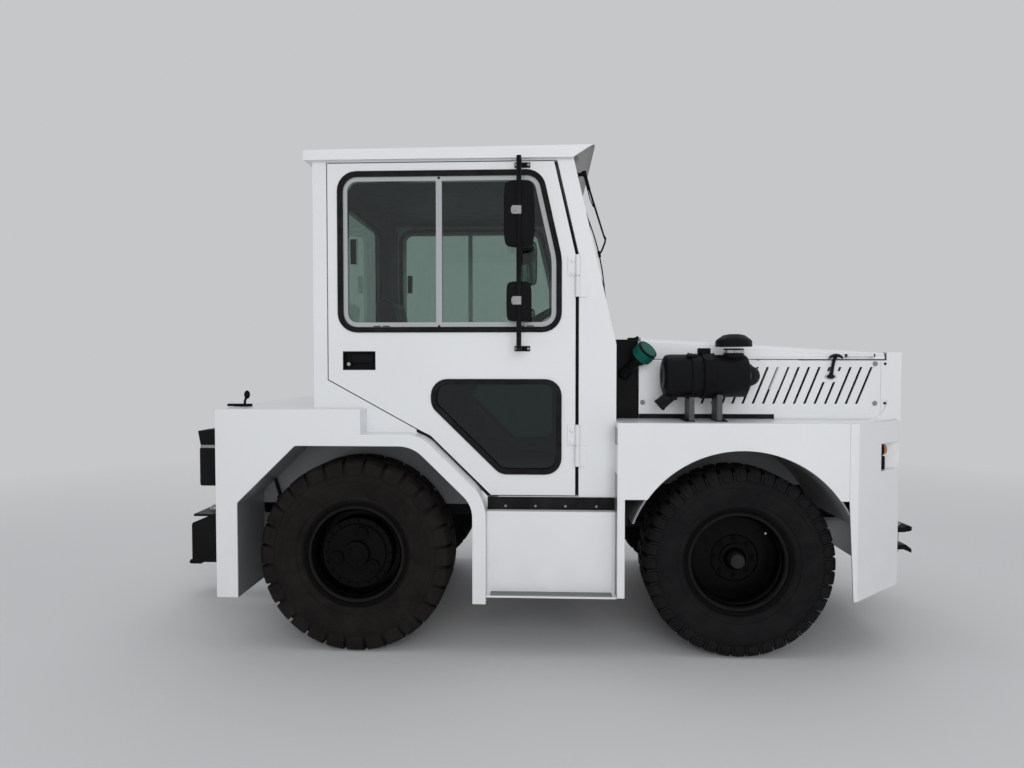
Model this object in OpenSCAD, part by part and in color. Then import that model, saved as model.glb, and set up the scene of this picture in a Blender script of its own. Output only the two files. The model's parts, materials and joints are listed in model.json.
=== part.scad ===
// Airport baggage tug: a two-axle tow tractor with a full cab over the rear axle.
// Millimetres. +X is forward, +Y is the left side, +Z is up, and the tyres stand on Z = 0.
// X = 0 is halfway between the tips of the two tow couplings.

/* [Overall] */
// Distance between the two axles
wheelbase = 1650; // [1550:10:1800]
// How far the body's rear face lies behind the rear axle
rear_overhang = 590; // [560:5:680]
// How far the front mask's face lies ahead of the front axle
front_overhang = 755; // [735:5:820]
// Reach of the rear coupling behind the body
rear_reach = 472; // [452:1:500]
// Reach of the front coupling ahead of the mask
front_reach = 327; // [300:1:350]
// Width over the fenders
body_w = 1600; // [1540:10:1700]
// Width over the cab's side walls
cab_w = 1380; // [1320:10:1440]
// Width over the hood's side panels
hood_w = 1100; // [1040:10:1160]

/* [Body] */
// Height of the ledge over the top of the rear wheel arch
ledge_rise = 50; // [36:2:70]
// Height of the rear deck over the ledge
deck_rise = 106; // [90:2:130]
// Height of the front deck beside the hood
front_deck_z = 1005; // [990:5:1020]
// Height of the skirts' lower edges over the ground
skirt_z = 264; // [250:1:275]
// Height of the front fenders' lower edges
fender_foot_z = 682; // [670:2:700]
// Thickness of the body's sheet metal
sheet_t = 8; // [6:1:10]
// Gap between a rear tyre and the inner wall of its well
well_gap = 30; // [20:2:40]

/* [Rear wheel arch] */
// Gap between a rear tyre and the flat top of its arch
arch_head = 62; // [50:2:80]
// Height over the axle at which the arch's rear slope starts
arch_slope_rise = 235; // [215:5:260]
// Width of the rear corner leg
rear_leg_w = 93; // [80:1:100]
// Length of the arch's rear slope along X
arch_slope_l = 253; // [220:1:270]
// Radius of the arch's upper front corner
arch_upper_r = 145; // [120:5:150]
// Radius of the arch's lower front corner
arch_lower_r = 125; // [100:5:135]
// Width of the sloping band between the arch and the door
band_w = 59; // [50:1:64]
// Width of the post between the arch and the step
post_w = 57; // [50:1:64]
// How far the post's foot hangs under the skirts
post_drop = 33; // [20:1:36]
// How far the rear corner leg's foot hangs under the skirts
leg_drop = 19; // [5:1:24]
// Radius of the ledge's corner at the door's foot
ledge_foot_r = 180; // [110:5:190]

/* [Cab] */
// How far the cab's rear wall lies behind the rear axle
cab_rear_back = 193; // [180:1:210]
// Height of the cab's walls, under the roof
cab_top_z = 2139; // [2120:1:2170]
// How far the windshield's top edge lies behind its lower edge
screen_run = 187; // [170:1:200]
// Rake of the windshield from the vertical
screen_rake = 13.1; // [12:0.1:14]
// Thickness of the cab's outer side panels
cab_wall = 40; // [36:1:44]
// Width of the front door pillar, measured along X
pillar_w = 87; // [80:1:94]
// Height of the sill's lower edge
sill_z = 617; // [600:1:630]
// Height of the cab's floor
floor_z = 679; // [675:1:679]
// Overhang of the roof on each side
roof_side_over = 25; // [15:1:40]
// Height of the roof's side flange
roof_flange_h = 44; // [36:1:52]
// Overhang of the roof behind the cab
roof_rear_over = 32; // [20:1:50]
// Overhang of the roof ahead of the windshield's top edge
roof_front_over = 90; // [70:1:110]

/* [Door] */
// Thickness of the door
door_t = 35; // [30:1:35]
// Gap round the door
door_gap = 5; // [5:0.5:7]
// Gap at the door's hinge edge
hinge_gap = 15; // [13:1:16]
// Gap between the door's sloping edge and the ledge
ledge_gap = 10; // [9:0.5:12]
// Width of the door jamb that laps behind the door
jamb_lap = 30; // [24:1:34]
// Distance from the cab's rear wall to the door's rear edge
door_rear_in = 66; // [60:1:72]
// Gap between the roof's flange and the door's top edge
door_top_gap = 10; // [8:1:14]
// Height at which the door's front edge turns upright
door_knee_z = 1721; // [1700:1:1740]
// Height over the ledge at which the door's rear edge ends
door_hip_rise = 231; // [220:1:240]
// How far the door's lower rear corner lies ahead of the rear axle
door_waist_ahead = 275; // [269:1:279]
// How far the upper end of the door's sloping edge lies ahead of the rear axle
door_slope_ahead = 324; // [320:1:330]
// How far the upper end of the door's sloping edge lies under the ledge
door_slope_drop = 15; // [10:1:20]
// How far the door's foot lies ahead of the rear axle
door_foot_ahead = 588; // [583:1:591]

/* [Door windows] */
// Lower edge of the upper window's rubber
window_low_z = 1389; // [1380:1:1400]
// Margin between the door's rear edge and the upper window
window_rear_in = 43; // [38:1:50]
// Margin between the door's top edge and the upper window
window_top_in = 34; // [32:1:44]
// Margin between the door's front edge and its windows
window_front_in = 59; // [54:1:66]
// Corner radius of the upper window
window_r = 85; // [70:1:90]
// Top edge of the lower window's rubber
vent_top_z = 1186; // [1176:1:1196]
// Distance from the door's lower rear corner to the lower window
vent_rear_in = 50; // [44:1:60]
// Margin between the door's bottom and the lower window
vent_low_in = 90; // [84:1:96]
// Margin between the door's sloping edge and the lower window
vent_slope_in = 93; // [88:1:98]
// Corner radius of the lower window
vent_r = 72; // [60:1:75]
// Width of the rubber round the door's windows
rubber_w = 24; // [20:1:28]
// Width of the aluminium frame inside the upper window's rubber
alu_w = 20; // [16:1:24]
// How far the rubber stands proud of the door
rubber_proud = 5; // [3:0.5:6]
// Thickness of the window glass
glass_t = 6; // [5:0.5:8]

/* [Hood] */
// How far the hood's rear edge lies ahead of the cab's front wall
hood_gap = 124; // [120:1:130]
// Height of the hood's rear edge
hood_rear_z = 1371; // [1360:1:1380]
// Height of the hood's front edge
hood_front_z = 1304; // [1300:1:1312]
// Height of the seam between the hood and its side panels
hood_seam_z = 1273; // [1268:1:1276]
// Depth of the front mask's uprights along X
upright_d = 64; // [56:1:72]
// Number of slots in each side panel
slot_count = 16; // [12:1:18]
// Pitch of the slots
slot_pitch = 45.5; // [43:0.5:47]
// Width of a slot
slot_w = 11; // [8:1:14]
// How far each slot leans forward
slot_lean = 65; // [50:1:75]
// Height of the slots over the front deck
slot_rise = 68; // [60:1:80]
// Height of a slot
slot_h = 165; // [140:1:175]

/* [Front mask] */
// Depth of the mask from its face to the rear edges of its sides
mask_depth = 322; // [312:1:330]
// Depth of the chamfers
chamfer_depth = 287; // [275:1:295]
// How far the mask's flat face ends inside the hood's sides
mask_face_in = 10; // [5:1:20]
// Lower edge of the lamp pocket
pocket_low_z = 788; // [780:1:800]
// Height of the lamp pocket
pocket_h = 119; // [114:1:125]
// Width of the lamp pocket outside the mask's corner
pocket_out = 120; // [112:1:135]
// Radius of the headlamps
headlamp_r = 55; // [50:1:58]
// How far the side plates' rear edges lean forward at their feet
mask_lean = 21; // [10:1:25]
// Distance from the radiator opening to the hood's sides
radiator_in = 165; // [155:1:185]
// Lower edge of the radiator opening
radiator_low_z = 560; // [550:1:580]
// Upper edge of the radiator opening
radiator_top_z = 1232; // [1210:1:1240]

/* [Wheels] */
// Outer radius of the rear tyres
rear_tyre_r = 420; // [410:1:424]
// Outer radius of the front tyres
front_tyre_r = 405; // [395:1:408]
// Width of the tyres
tyre_w = 235; // [225:1:240]
// How far the tyres' outer faces lie inside the fenders
tyre_in = 35; // [25:1:45]
// Gap between a front tyre and its arch
arch_gap = 80; // [70:1:88]
// Lower edge of the front arches' linings
lining_low_z = 580; // [575:5:600]
// Radius of the rims' flanges
rim_flange_r = 229; // [224:1:232]
// Distance from a front tyre's inner face to its kingpin
kingpin_in = 24; // [24:1:30]
// Radius of a kingpin
kingpin_r = 20; // [18:1:22]
// Length of the steering arms
steer_arm_l = 150; // [140:1:155]
// Steering lock to each side in degrees
steer_lock = 35; // [25:1:35]
// Radius of the front spindles
front_spindle_r = 30; // [28:1:32]
// Radius of the rear spindles
rear_spindle_r = 45; // [42:1:48]
// Running clearance of shafts in their bores
run_gap = 0.05; // [0.03:0.01:0.08]

/* [Frame] */
// Outer face of the frame rails, measured from the middle
rail_out_y = 280; // [270:1:285]
// Width of a frame rail
rail_w = 60; // [50:1:70]
// Height of a frame rail
rail_h = 160; // [140:5:165]
// Width of the engine block
engine_w = 380; // [340:10:400]
// Length of the engine block
engine_l = 720; // [680:10:740]
// Height of the engine block
engine_h = 640; // [600:10:660]

/* [Couplings] */
// Half distance between the rear coupling's side plates
hitch_half_w = 110; // [100:1:120]
// Number of steps in the rear coupling
hitch_steps = 4; // [3:1:5]
// Thickness of the coupling plates
hitch_t = 12; // [10:1:14]
// Radius of the coupling pins
hitch_pin_r = 16; // [14:1:18]
// Lower edge of the rear coupling
hitch_low_z = 201; // [190:1:215]
// Upper edge of the rear coupling
hitch_top_z = 455; // [440:1:465]

/* [Air cleaner] */
// Gap between the air cleaner's drum and the hood's side
cleaner_gap = 16; // [12:1:24]
// Height of the air cleaner's axis
cleaner_z = 1200; // [1195:1:1210]
// Radius of the air cleaner's drum
cleaner_r = 94; // [88:1:98]
// How far the air cleaner's drum lies ahead of the hood's rear edge
cleaner_in = 77; // [70:1:90]
// Length of the air cleaner's drum
cleaner_l = 357; // [345:1:362]
// Radius of the rain cap
rain_cap_r = 77; // [70:1:84]
// Radius of the intake hose
hose_r = 44; // [40:1:46]

/* [Hidden] */
$fn = 48;

// Colours
paint = "#e9eaec";
black = "#1c1d1f";
rubber = "#26272a";
alloy = "#b9bcc0";
glass = [0.45, 0.60, 0.56, 0.45];

// Seating clearance between pieces that touch along curved or snug faces
seat_gap = 0.3;

// Main places
tip_x = (rear_reach + rear_overhang + wheelbase + front_overhang + front_reach) / 2;
half_body = body_w / 2;
half_cab = cab_w / 2;
half_hood = hood_w / 2;
rear_x = -tip_x + rear_reach;
front_x = tip_x - front_reach;
rear_axle_x = rear_x + rear_overhang;
front_axle_x = front_x - front_overhang;
tyre_out_y = half_body - tyre_in;
tyre_in_y = tyre_out_y - tyre_w;
kingpin_y = tyre_in_y - kingpin_in;
well_y = tyre_in_y - well_gap;
arch_top_z = 2 * rear_tyre_r + arch_head;
arch_slope_z = rear_tyre_r + arch_slope_rise;
ledge_z = arch_top_z + ledge_rise;
deck_z = ledge_z + deck_rise;
platform_z = ledge_z - 10;
front_arch_r = front_tyre_r + arch_gap;
// Rear edge of the front fenders, and their rear posts
fender_post_w = 32;
front_rear_x = front_axle_x - front_arch_r - fender_post_w - 6;
cowl_x = front_rear_x + 5;
screen_top_x = cowl_x - screen_run;
hood_rear_x = cowl_x + hood_gap;
cab_rear_x = rear_axle_x - cab_rear_back;
door_waist_x = rear_axle_x + door_waist_ahead;
door_slope_x = rear_axle_x + door_slope_ahead;
door_foot_x = rear_axle_x + door_foot_ahead;
door_slope_z = ledge_z - door_slope_drop;
door_hip_z = ledge_z + door_hip_rise;
vent_rear_x = door_waist_x + vent_rear_in;
mask_rear_x = front_x - mask_depth;
mask_corner_x = front_x - chamfer_depth;
mask_face_y = half_hood - mask_face_in;
pocket_in_y = mask_face_y - 2;
pocket_out_y = mask_face_y + pocket_out;
radiator_half_w = half_hood - radiator_in;
cleaner_y = half_hood + cleaner_gap + cleaner_r;
cleaner_x = hood_rear_x + cleaner_in;
roof_w = cab_w + 2 * roof_side_over;
jamb_y = half_cab - 2 * cab_wall;
rail_top_z = floor_z - 14;
rail_low_z = rail_top_z - rail_h;
// How far the tyres bulge past their rims
tyre_bulge = 27;
rim_in_y = tyre_in_y + tyre_bulge;
rim_out_y = tyre_out_y - tyre_bulge;
roof_low_z = cab_top_z - 5;

function unit(v) = v / norm(v);
function wrap(a) = a > 180 ? a - 360 : a < -180 ? a + 360 : a;
function left_of(a, b) = let (d = unit(b - a)) [-d.y, d.x];

// Where the line through p and q has height z, and its height at x
function line_x(p, q, z) = p.x + (z - p.y) * (q.x - p.x) / (q.y - p.y);
function line_z(p, q, x) = p.y + (x - p.x) * (q.y - p.y) / (q.x - p.x);

// Points of the arc that rounds corner b between a and c
function corner_arc(a, b, c, r, n = 6) =
    r <= 0 ? [b] :
    let (
        u = unit(a - b),
        v = unit(c - b),
        half = acos(u * v) / 2,
        centre = b + unit(u + v) * r / sin(half),
        from = b + u * r / tan(half) - centre,
        to = b + v * r / tan(half) - centre,
        a0 = atan2(from.y, from.x),
        turn = wrap(atan2(to.y, to.x) - a0)
    ) [for (i = [0:n]) centre + r * [cos(a0 + turn * i / n), sin(a0 + turn * i / n)]];

// A closed outline with each corner rounded by its own radius
function rounded(pts, radii) =
    let (n = len(pts))
    [for (i = [0:n - 1]) each corner_arc(pts[(i + n - 1) % n], pts[i], pts[(i + 1) % n], radii[i])];

// An open path with its inner corners rounded
function rounded_path(pts, radii) =
    [for (i = [0:len(pts) - 1])
        each i == 0 || i == len(pts) - 1 ? [pts[i]] : corner_arc(pts[i - 1], pts[i], pts[i + 1], radii[i])];

// Mitre of corner b, moved d to the left of the path a, b, c
function mitre(a, b, c, d) =
    let (m = left_of(a, b), n = left_of(b, c)) b + (m + n) * d / (1 + m * n);

// A closed counter-clockwise outline grown by d
function grown(pts, d) =
    let (n = len(pts)) [for (i = [0:n - 1]) mitre(pts[(i + n - 1) % n], pts[i], pts[(i + 1) % n], -d)];

// An open path moved d to its left
function shifted(path, d) =
    let (n = len(path))
    [for (i = [0:n - 1])
        i == 0 ? path[0] + left_of(path[0], path[1]) * d :
        i == n - 1 ? path[i] + left_of(path[i - 1], path[i]) * d :
        mitre(path[i - 1], path[i], path[i + 1], d)];

// The outline of a sheet of thickness t on the left of a path
function strip(path, t) = concat(path, [for (i = [len(path) - 1:-1:0]) shifted(path, t)[i]]);

function box_pts(x0, z0, x1, z1) = [[x0, z0], [x1, z0], [x1, z1], [x0, z1]];

// Extrudes a side view, drawn in X and Z, from y0 to y1
module along_y(y0, y1) {
    translate([0, y1, 0]) rotate([90, 0, 0]) linear_extrude(y1 - y0) children();
}

// Extrudes a front view, drawn in Y and Z, from x0 to x1
module along_x(x0, x1) {
    translate([x0, 0, 0]) rotate([90, 0, 90]) linear_extrude(x1 - x0) children();
}

module block(low, high) {
    translate(low) cube(high - low);
}

module on_both_sides() {
    children();
    mirror([0, 1, 0]) children();
}

// side = 1 keeps the left side, side = -1 mirrors it to the right
module on_side(side) {
    if (side > 0) children();
    else mirror([0, 1, 0]) children();
}

module rod_y(r, y0, y1) {
    translate([0, y1, 0]) rotate([90, 0, 0]) cylinder(r = r, h = y1 - y0);
}

module rod_x(r, x0, x1) {
    translate([x0, 0, 0]) rotate([0, 90, 0]) cylinder(r = r, h = x1 - x0);
}

// Door and ledge outlines

function pillar_x(z) = screen_top_x + (cab_top_z - z) * tan(screen_rake);
cowl_top_z = cab_top_z - (cowl_x - screen_top_x) / tan(screen_rake);
door_rear_x = cab_rear_x + door_rear_in;
door_top_z = roof_low_z - door_top_gap;
door_low_z = floor_z;
function door_front_x(z) = pillar_x(max(z, door_knee_z)) - pillar_w;
door_waist_z = ledge_z + ledge_gap;

// The door's outline, with its hinge edge moved forward by extra
function door_outline(extra = 0) = [
    [door_rear_x, door_hip_z],
    [door_waist_x, door_waist_z],
    [door_slope_x, door_slope_z],
    [door_foot_x, door_low_z],
    [door_front_x(door_low_z) + extra, door_low_z],
    [door_front_x(door_knee_z) + extra, door_knee_z],
    [door_front_x(door_top_z) + extra, door_top_z],
    [door_rear_x, door_top_z]
];

// The slope that the door's edge, the ledge and the wheel arch share
slope_a = [door_slope_x, door_slope_z];
slope_b = [door_foot_x, door_low_z];
function slope_line(d) = shifted([slope_a, slope_b], -d);
function slope_x(d, z) = line_x(slope_line(d)[0], slope_line(d)[1], z);
function slope_z(d, x) = line_z(slope_line(d)[0], slope_line(d)[1], x);

step_x = rear_axle_x + 40;
post_front_x = door_foot_x - 15;
post_rear_x = post_front_x - post_w;
arch_d = ledge_gap + band_w;
leg_front_x = rear_x + rear_leg_w;
post_foot_z = skirt_z - post_drop;
leg_foot_z = skirt_z - leg_drop;

// The wheel arch's edge, from the rear leg's foot to the post's foot
arch_path = rounded_path(
    [
        [leg_front_x, leg_foot_z],
        [leg_front_x, arch_slope_z],
        [leg_front_x + arch_slope_l, arch_top_z],
        [slope_x(arch_d, arch_top_z), arch_top_z],
        [post_rear_x, slope_z(arch_d, post_rear_x)],
        [post_rear_x, post_foot_z]
    ],
    [0, 12, 20, arch_upper_r, arch_lower_r, 0]
);

// The ledge's upper line, from the deck down to the post's foot
ledge_path = rounded_path(
    [
        [step_x, deck_z],
        [step_x, ledge_z],
        [slope_x(ledge_gap, ledge_z), ledge_z],
        [post_front_x, slope_z(ledge_gap, post_front_x)],
        [post_front_x, post_foot_z]
    ],
    [0, 0, 150, ledge_foot_r, 0]
);

rear_side_pts = concat(
    [[rear_x, deck_z]],
    ledge_path,
    [[post_rear_x, post_foot_z], [leg_front_x, leg_foot_z], [rear_x, leg_foot_z]]
);
arch_pts = concat(arch_path, [[post_rear_x, post_foot_z - 1], [leg_front_x, post_foot_z - 1]]);
well_wall_z = 600;

// The cab's side wall, resting on the deck and the ledge
cab_side_pts = concat(
    [[cab_rear_x, deck_z]],
    [for (p = ledge_path) if (p.y > sill_z) p],
    [
        [post_front_x, sill_z],
        [cowl_x, sill_z],
        [cowl_x, cowl_top_z],
        [screen_top_x, cab_top_z],
        [cab_rear_x, cab_top_z]
    ]
);

module frame() color(black) {
    on_both_sides() {
        block([rear_x + sheet_t, rail_out_y - rail_w, rail_low_z], [radiator_x - 10, rail_out_y, rail_top_z]);
        for (x = [leg_front_x + 20, post_rear_x - 70])
            block([x, rail_out_y, rail_low_z + 95], [x + 50, well_y - sheet_t, rail_top_z - 10]);
        for (x = [post_front_x + 20, cowl_x - 70])
            block([x, rail_out_y, sill_z - sheet_t - 60], [x + 50, step_panel_y - sheet_t, sill_z - sheet_t]);
    }
    for (x = [rear_x + sheet_t, rear_axle_x + 330, cowl_x])
        block([x, -rail_out_y + rail_w, rail_low_z + 10], [x + 80, rail_out_y - rail_w, rail_low_z + 90]);
    // front crossmember under the radiator, bolted to the mask
    block([radiator_x - 10, -rail_out_y, rail_low_z + 10], [radiator_x + 88, rail_out_y, radiator_low_z + 8]);
    block([radiator_x - 10, -rail_out_y, rail_low_z + 10], [front_x - sheet_t, rail_out_y, radiator_low_z - 20]);
}

radiator_x = front_x - 130;
step_panel_y = half_body - 60;

// Flat deck behind the cab and the plate that closes the body's rear
rear_plate_z = 330;

module rear_deck() color(paint) {
    y_in = half_body - sheet_t;
    block([rear_x, -y_in, rear_plate_z], [rear_x + sheet_t, y_in, deck_z]);
    block([rear_x, -y_in, deck_z - sheet_t], [cab_rear_x, y_in, deck_z]);
    on_both_sides() {
        block([rear_x, half_cab, leg_foot_z], [rear_x + sheet_t, y_in, rear_plate_z + 1]);
        block([cab_rear_x - 1, half_cab, deck_z - sheet_t], [step_x - sheet_t, y_in, deck_z]);
    }
}

// Outer side plates with the wheel arches
module rear_fenders() color(paint) on_both_sides() {
    along_y(half_body - sheet_t, half_body) difference() {
        polygon(rear_side_pts);
        polygon(arch_pts);
    }
}

// Ledge, wheel arch lining and inner wall of each rear wheel well
module rear_wells() color(paint) on_both_sides() {
    y_in = half_body - sheet_t;
    along_y(half_cab, y_in) polygon(strip(ledge_path, -sheet_t));
    along_y(jamb_y, half_cab) polygon(strip([for (p = ledge_path) if (p.y > sill_z) p], -sheet_t));
    block([cab_rear_x, jamb_y, deck_z - sheet_t], [step_x - sheet_t, half_cab, deck_z]);
    along_y(half_cab, y_in) polygon(strip(arch_path, sheet_t));
    along_y(well_y, half_cab)
        polygon(strip([for (p = arch_path) if (p.y > well_wall_z || p.x < leg_front_x + 1) p], sheet_t));
    along_y(well_y - sheet_t, well_y) polygon(concat(
        [for (p = shifted(arch_path, sheet_t)) if (p.y > well_wall_z) p],
        [[post_rear_x + sheet_t, well_wall_z], [leg_front_x - sheet_t, well_wall_z]]
    ));
    // foot of the post, closed on its inner side
    block([post_rear_x, half_cab, post_foot_z], [post_front_x, half_cab + sheet_t, sill_z]);
}

front_wheel = [front_axle_x, front_tyre_r];
bay_wall_y = half_hood;
cross_wall_x = front_axle_x + front_arch_r + sheet_t;

// Flat decks beside the hood, with the walls of the engine bay under them
module front_decks() color(paint) on_both_sides() {
    y_in = half_body - sheet_t;
    block([cowl_x + seat_gap, bay_wall_y - sheet_t, front_deck_z - sheet_t], [mask_rear_x, y_in, front_deck_z]);
    block([front_rear_x, half_cab + seat_gap, front_deck_z - sheet_t], [cowl_x + 1, y_in, front_deck_z]);
    along_y(bay_wall_y - sheet_t, bay_wall_y) difference() {
        polygon([
            [cowl_x + sheet_t, bay_wall_z],
            [cross_wall_x, bay_wall_z],
            [cross_wall_x, front_deck_z - sheet_t],
            [mask_rear_x, front_deck_z - sheet_t],
            [mask_rear_x, front_deck_z - sheet_t + 1],
            [cowl_x + sheet_t, front_deck_z - sheet_t + 1]
        ]);
        translate(front_wheel) circle(r = front_arch_r + sheet_t, $fn = 96);
    }
}

bay_wall_z = front_tyre_r + 300;

// Outer fender plates with the wheel arches and their rear posts
module front_fenders() color(paint) on_both_sides() {
    along_y(half_body - sheet_t, half_body) difference() {
        polygon([
            [front_rear_x, skirt_z],
            [front_rear_x + fender_post_w, skirt_z],
            [front_rear_x + fender_post_w, fender_foot_z],
            [mask_rear_x, fender_foot_z],
            [mask_rear_x, front_deck_z],
            [front_rear_x, front_deck_z]
        ]);
        translate(front_wheel) circle(r = front_arch_r, $fn = 96);
    }
    // splash wall behind the wheel
    block([front_rear_x, half_cab + seat_gap, skirt_z], [front_rear_x + sheet_t, half_body - sheet_t, front_deck_z - sheet_t]);
}

// Curved lining over each front wheel, its inner wall and the closing wall at the cab
module front_wells() color(paint) on_both_sides() {
    y0 = rail_out_y + 5;
    along_y(y0, half_body - sheet_t) difference() {
        translate(front_wheel) circle(r = front_arch_r + sheet_t, $fn = 96);
        translate(front_wheel) circle(r = front_arch_r, $fn = 96);
        translate([front_axle_x - 600, -600]) square([1200, 600 + lining_low_z]);
    }
    along_y(y0, y0 + sheet_t) difference() {
        translate(front_wheel) circle(r = front_arch_r + 1, $fn = 96);
        translate([front_axle_x - 600, -600]) square([1200, 600 + rail_top_z + 1]);
    }
    block([cowl_x + seat_gap, y0, rail_top_z], [cowl_x + sheet_t, half_cab - 1, front_deck_z - sheet_t]);
}

// Plan view of the front mask's outer face, from right to left
mask_path = [
    [mask_rear_x, -half_body],
    [mask_corner_x, -half_body],
    [front_x, -mask_face_y],
    [front_x, mask_face_y],
    [mask_corner_x, half_body],
    [mask_rear_x, half_body]
];

module mask_plan() {
    polygon(mask_path);
}

module pocket_space(grow) {
    block([pocket_back_x - grow, pocket_in_y - grow, pocket_low_z - grow],
          [front_x + 1, pocket_out_y + grow, pocket_low_z + pocket_h + grow]);
}

module front_mask() color(paint) {
    upright_y = half_hood;
    difference() {
        union() {
            translate([0, 0, skirt_z]) linear_extrude(front_deck_z - skirt_z) polygon(strip(mask_path, sheet_t));
            // corner decks
            translate([0, 0, front_deck_z - sheet_t]) linear_extrude(sheet_t) difference() {
                mask_plan();
                translate([mask_rear_x - 1, -upright_y + sheet_t]) square([front_x, 2 * (upright_y - sheet_t)]);
            }
            // upper part between the uprights
            block([front_x - sheet_t, -upright_y, front_deck_z - sheet_t], [front_x, upright_y, hood_front_z]);
            block([front_x - upright_d, -upright_y, hood_front_z - sheet_t], [front_x, upright_y, hood_front_z]);
            on_both_sides() {
                block([front_x - upright_d, upright_y - sheet_t, front_deck_z - sheet_t],
                      [front_x, upright_y, hood_front_z]);
                block([panel_front_x + 1, upright_y - sheet_t, front_deck_z - sheet_t],
                      [front_x - upright_d, upright_y, panel_top_z]);
                // curved gusset at the upright's foot
                along_y(upright_y, upright_y + sheet_t) difference() {
                    translate([front_x - upright_d - 85, front_deck_z]) square([85 + upright_d - 20, 85]);
                    translate([front_x - upright_d - 85, front_deck_z + 85]) circle(r = 85, $fn = 64);
                }
                // walls of the lamp pocket
                intersection() {
                    translate([0, 0, skirt_z]) linear_extrude(front_deck_z - skirt_z) mask_plan();
                    pocket_space(sheet_t);
                }
                // cross wall ahead of the wheel
                block([cross_wall_x + seat_gap, rail_out_y + 5, rail_low_z + 60],
                      [cross_wall_x + sheet_t, half_body - 60, front_deck_z - sheet_t]);
            }
        }
        on_both_sides() {
            pocket_space(0);
            translate([0, lamp_y, lamp_z]) rod_x(headlamp_r + seat_gap, front_x - sheet_t - 1, front_x + 1);
            // rear edge of the side plate, leaning forward to its foot
            along_y(half_body - sheet_t - 1, half_body + 1) polygon([
                [mask_rear_x - 1, fender_foot_z],
                [mask_rear_x, fender_foot_z],
                [mask_rear_x + mask_lean, skirt_z - 1],
                [mask_rear_x - 1, skirt_z - 1]
            ]);
        }
        block([front_x - sheet_t - 1, -radiator_half_w, radiator_low_z], [front_x + 1, radiator_half_w, radiator_top_z]);
    }
}

// Places a shape in the windshield's plane: X is depth, Y across, Z down the rake from the top edge
module on_screen() {
    translate([screen_top_x, 0, cab_top_z]) rotate([0, -screen_rake, 0]) children();
}

screen_l = (cab_top_z - cowl_top_z) / cos(screen_rake);
screen_half_w = jamb_y - 35;
screen_top_in = 62;
screen_low_in = 55;
frame_d = 36;
rear_window_half_w = 500;
rear_window_low_z = 1420;
rear_window_top_z = 2050;
rear_wall_t = 32;

function window_pts(half_w, z0, z1, r) = rounded(box_pts(-half_w, z0, half_w, z1), [r, r, r, r]);
function screen_pts(inset) = grown(window_pts(screen_half_w, -screen_l + screen_low_in, -screen_top_in, 60), -inset);
function rear_pts(inset) = grown(window_pts(rear_window_half_w, rear_window_low_z, rear_window_top_z, 60), -inset);

module cab_shell() color(paint) {
    on_both_sides() {
        // outer side panel round the door
        along_y(half_cab - cab_wall, half_cab) difference() {
            polygon(cab_side_pts);
            polygon(grown(door_outline(hinge_gap - door_gap), door_gap));
            polygon(grown([slope_b, [0, door_low_z + 60], [door_waist_x, 1100], [door_waist_x, door_waist_z], slope_a],
                          ledge_gap + 4));
        }
        // door jamb
        along_y(jamb_y, half_cab - cab_wall) difference() {
            polygon(cab_side_pts);
            polygon(grown(door_outline(), -jamb_lap));
        }
    }
    // rear wall
    difference() {
        block([cab_rear_x, -jamb_y, deck_z], [cab_rear_x + rear_wall_t, jamb_y, cab_top_z]);
        along_x(cab_rear_x - 1, cab_rear_x + rear_wall_t + 1) polygon(rear_pts(0));
    }
    // windshield frame
    difference() {
        along_y(-jamb_y, jamb_y) polygon([
            [screen_top_x - frame_d, cab_top_z],
            [cowl_x - frame_d, cowl_top_z],
            [cowl_x, cowl_top_z],
            [screen_top_x, cab_top_z]
        ]);
        on_screen() along_x(-frame_d - 20, 20) polygon(screen_pts(0));
    }
    // front wall under the windshield
    block([cowl_x - frame_d, -jamb_y, rail_top_z], [cowl_x, jamb_y, cowl_top_z]);
}

module cab_roof() color(paint) {
    x0 = cab_rear_x - roof_rear_over;
    x1 = screen_top_x + roof_front_over;
    top = roof_low_z + roof_flange_h;
    difference() {
        intersection() {
            along_y(-roof_w / 2, roof_w / 2) polygon(rounded(
                [[x0, roof_low_z], [screen_top_x, roof_low_z], [x1 - 26, top - 4], [x1, top], [x1 - 4, top + 12],
                 [x1 - 30, top + 12], [x0, top]],
                [3, 0, 0, 0, 3, 3, 8]
            ));
            along_x(x0 - 1, x1 + 1) polygon([
                [-roof_w / 2, roof_low_z],
                [roof_w / 2, roof_low_z],
                [roof_w / 2, top - 3],
                [roof_w / 2 - 12, top + 12],
                [-roof_w / 2 + 12, top + 12],
                [-roof_w / 2, top - 3]
            ]);
        }
        // the roof sits over the tops of the cab's walls
        block([cab_rear_x - seat_gap, -half_cab - seat_gap, roof_low_z - 1],
              [pillar_x(roof_low_z) + seat_gap, half_cab + seat_gap, cab_top_z + seat_gap]);
    }
}

module cab_floor() color("#3a3d40") {
    t = 12;
    path = [[cowl_x - frame_d, floor_z], [rear_step_x, floor_z], [rear_step_x, platform_z], [cab_rear_x + rear_wall_t, platform_z]];
    along_y(-well_y + sheet_t, well_y - sheet_t) polygon(strip(path, t));
    on_both_sides() block([post_front_x + sheet_t, well_y - sheet_t, floor_z - t], [cowl_x - frame_d, jamb_y, floor_z]);
}

rear_step_x = post_rear_x - 40;

module cab_seals() color(rubber) {
    on_screen() along_x(-frame_d, 4) difference() {
        polygon(screen_pts(seat_gap));
        polygon(screen_pts(rubber_w));
    }
    along_x(cab_rear_x - 4, cab_rear_x + rear_wall_t) difference() {
        polygon(rear_pts(seat_gap));
        polygon(rear_pts(rubber_w));
    }
}

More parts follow.
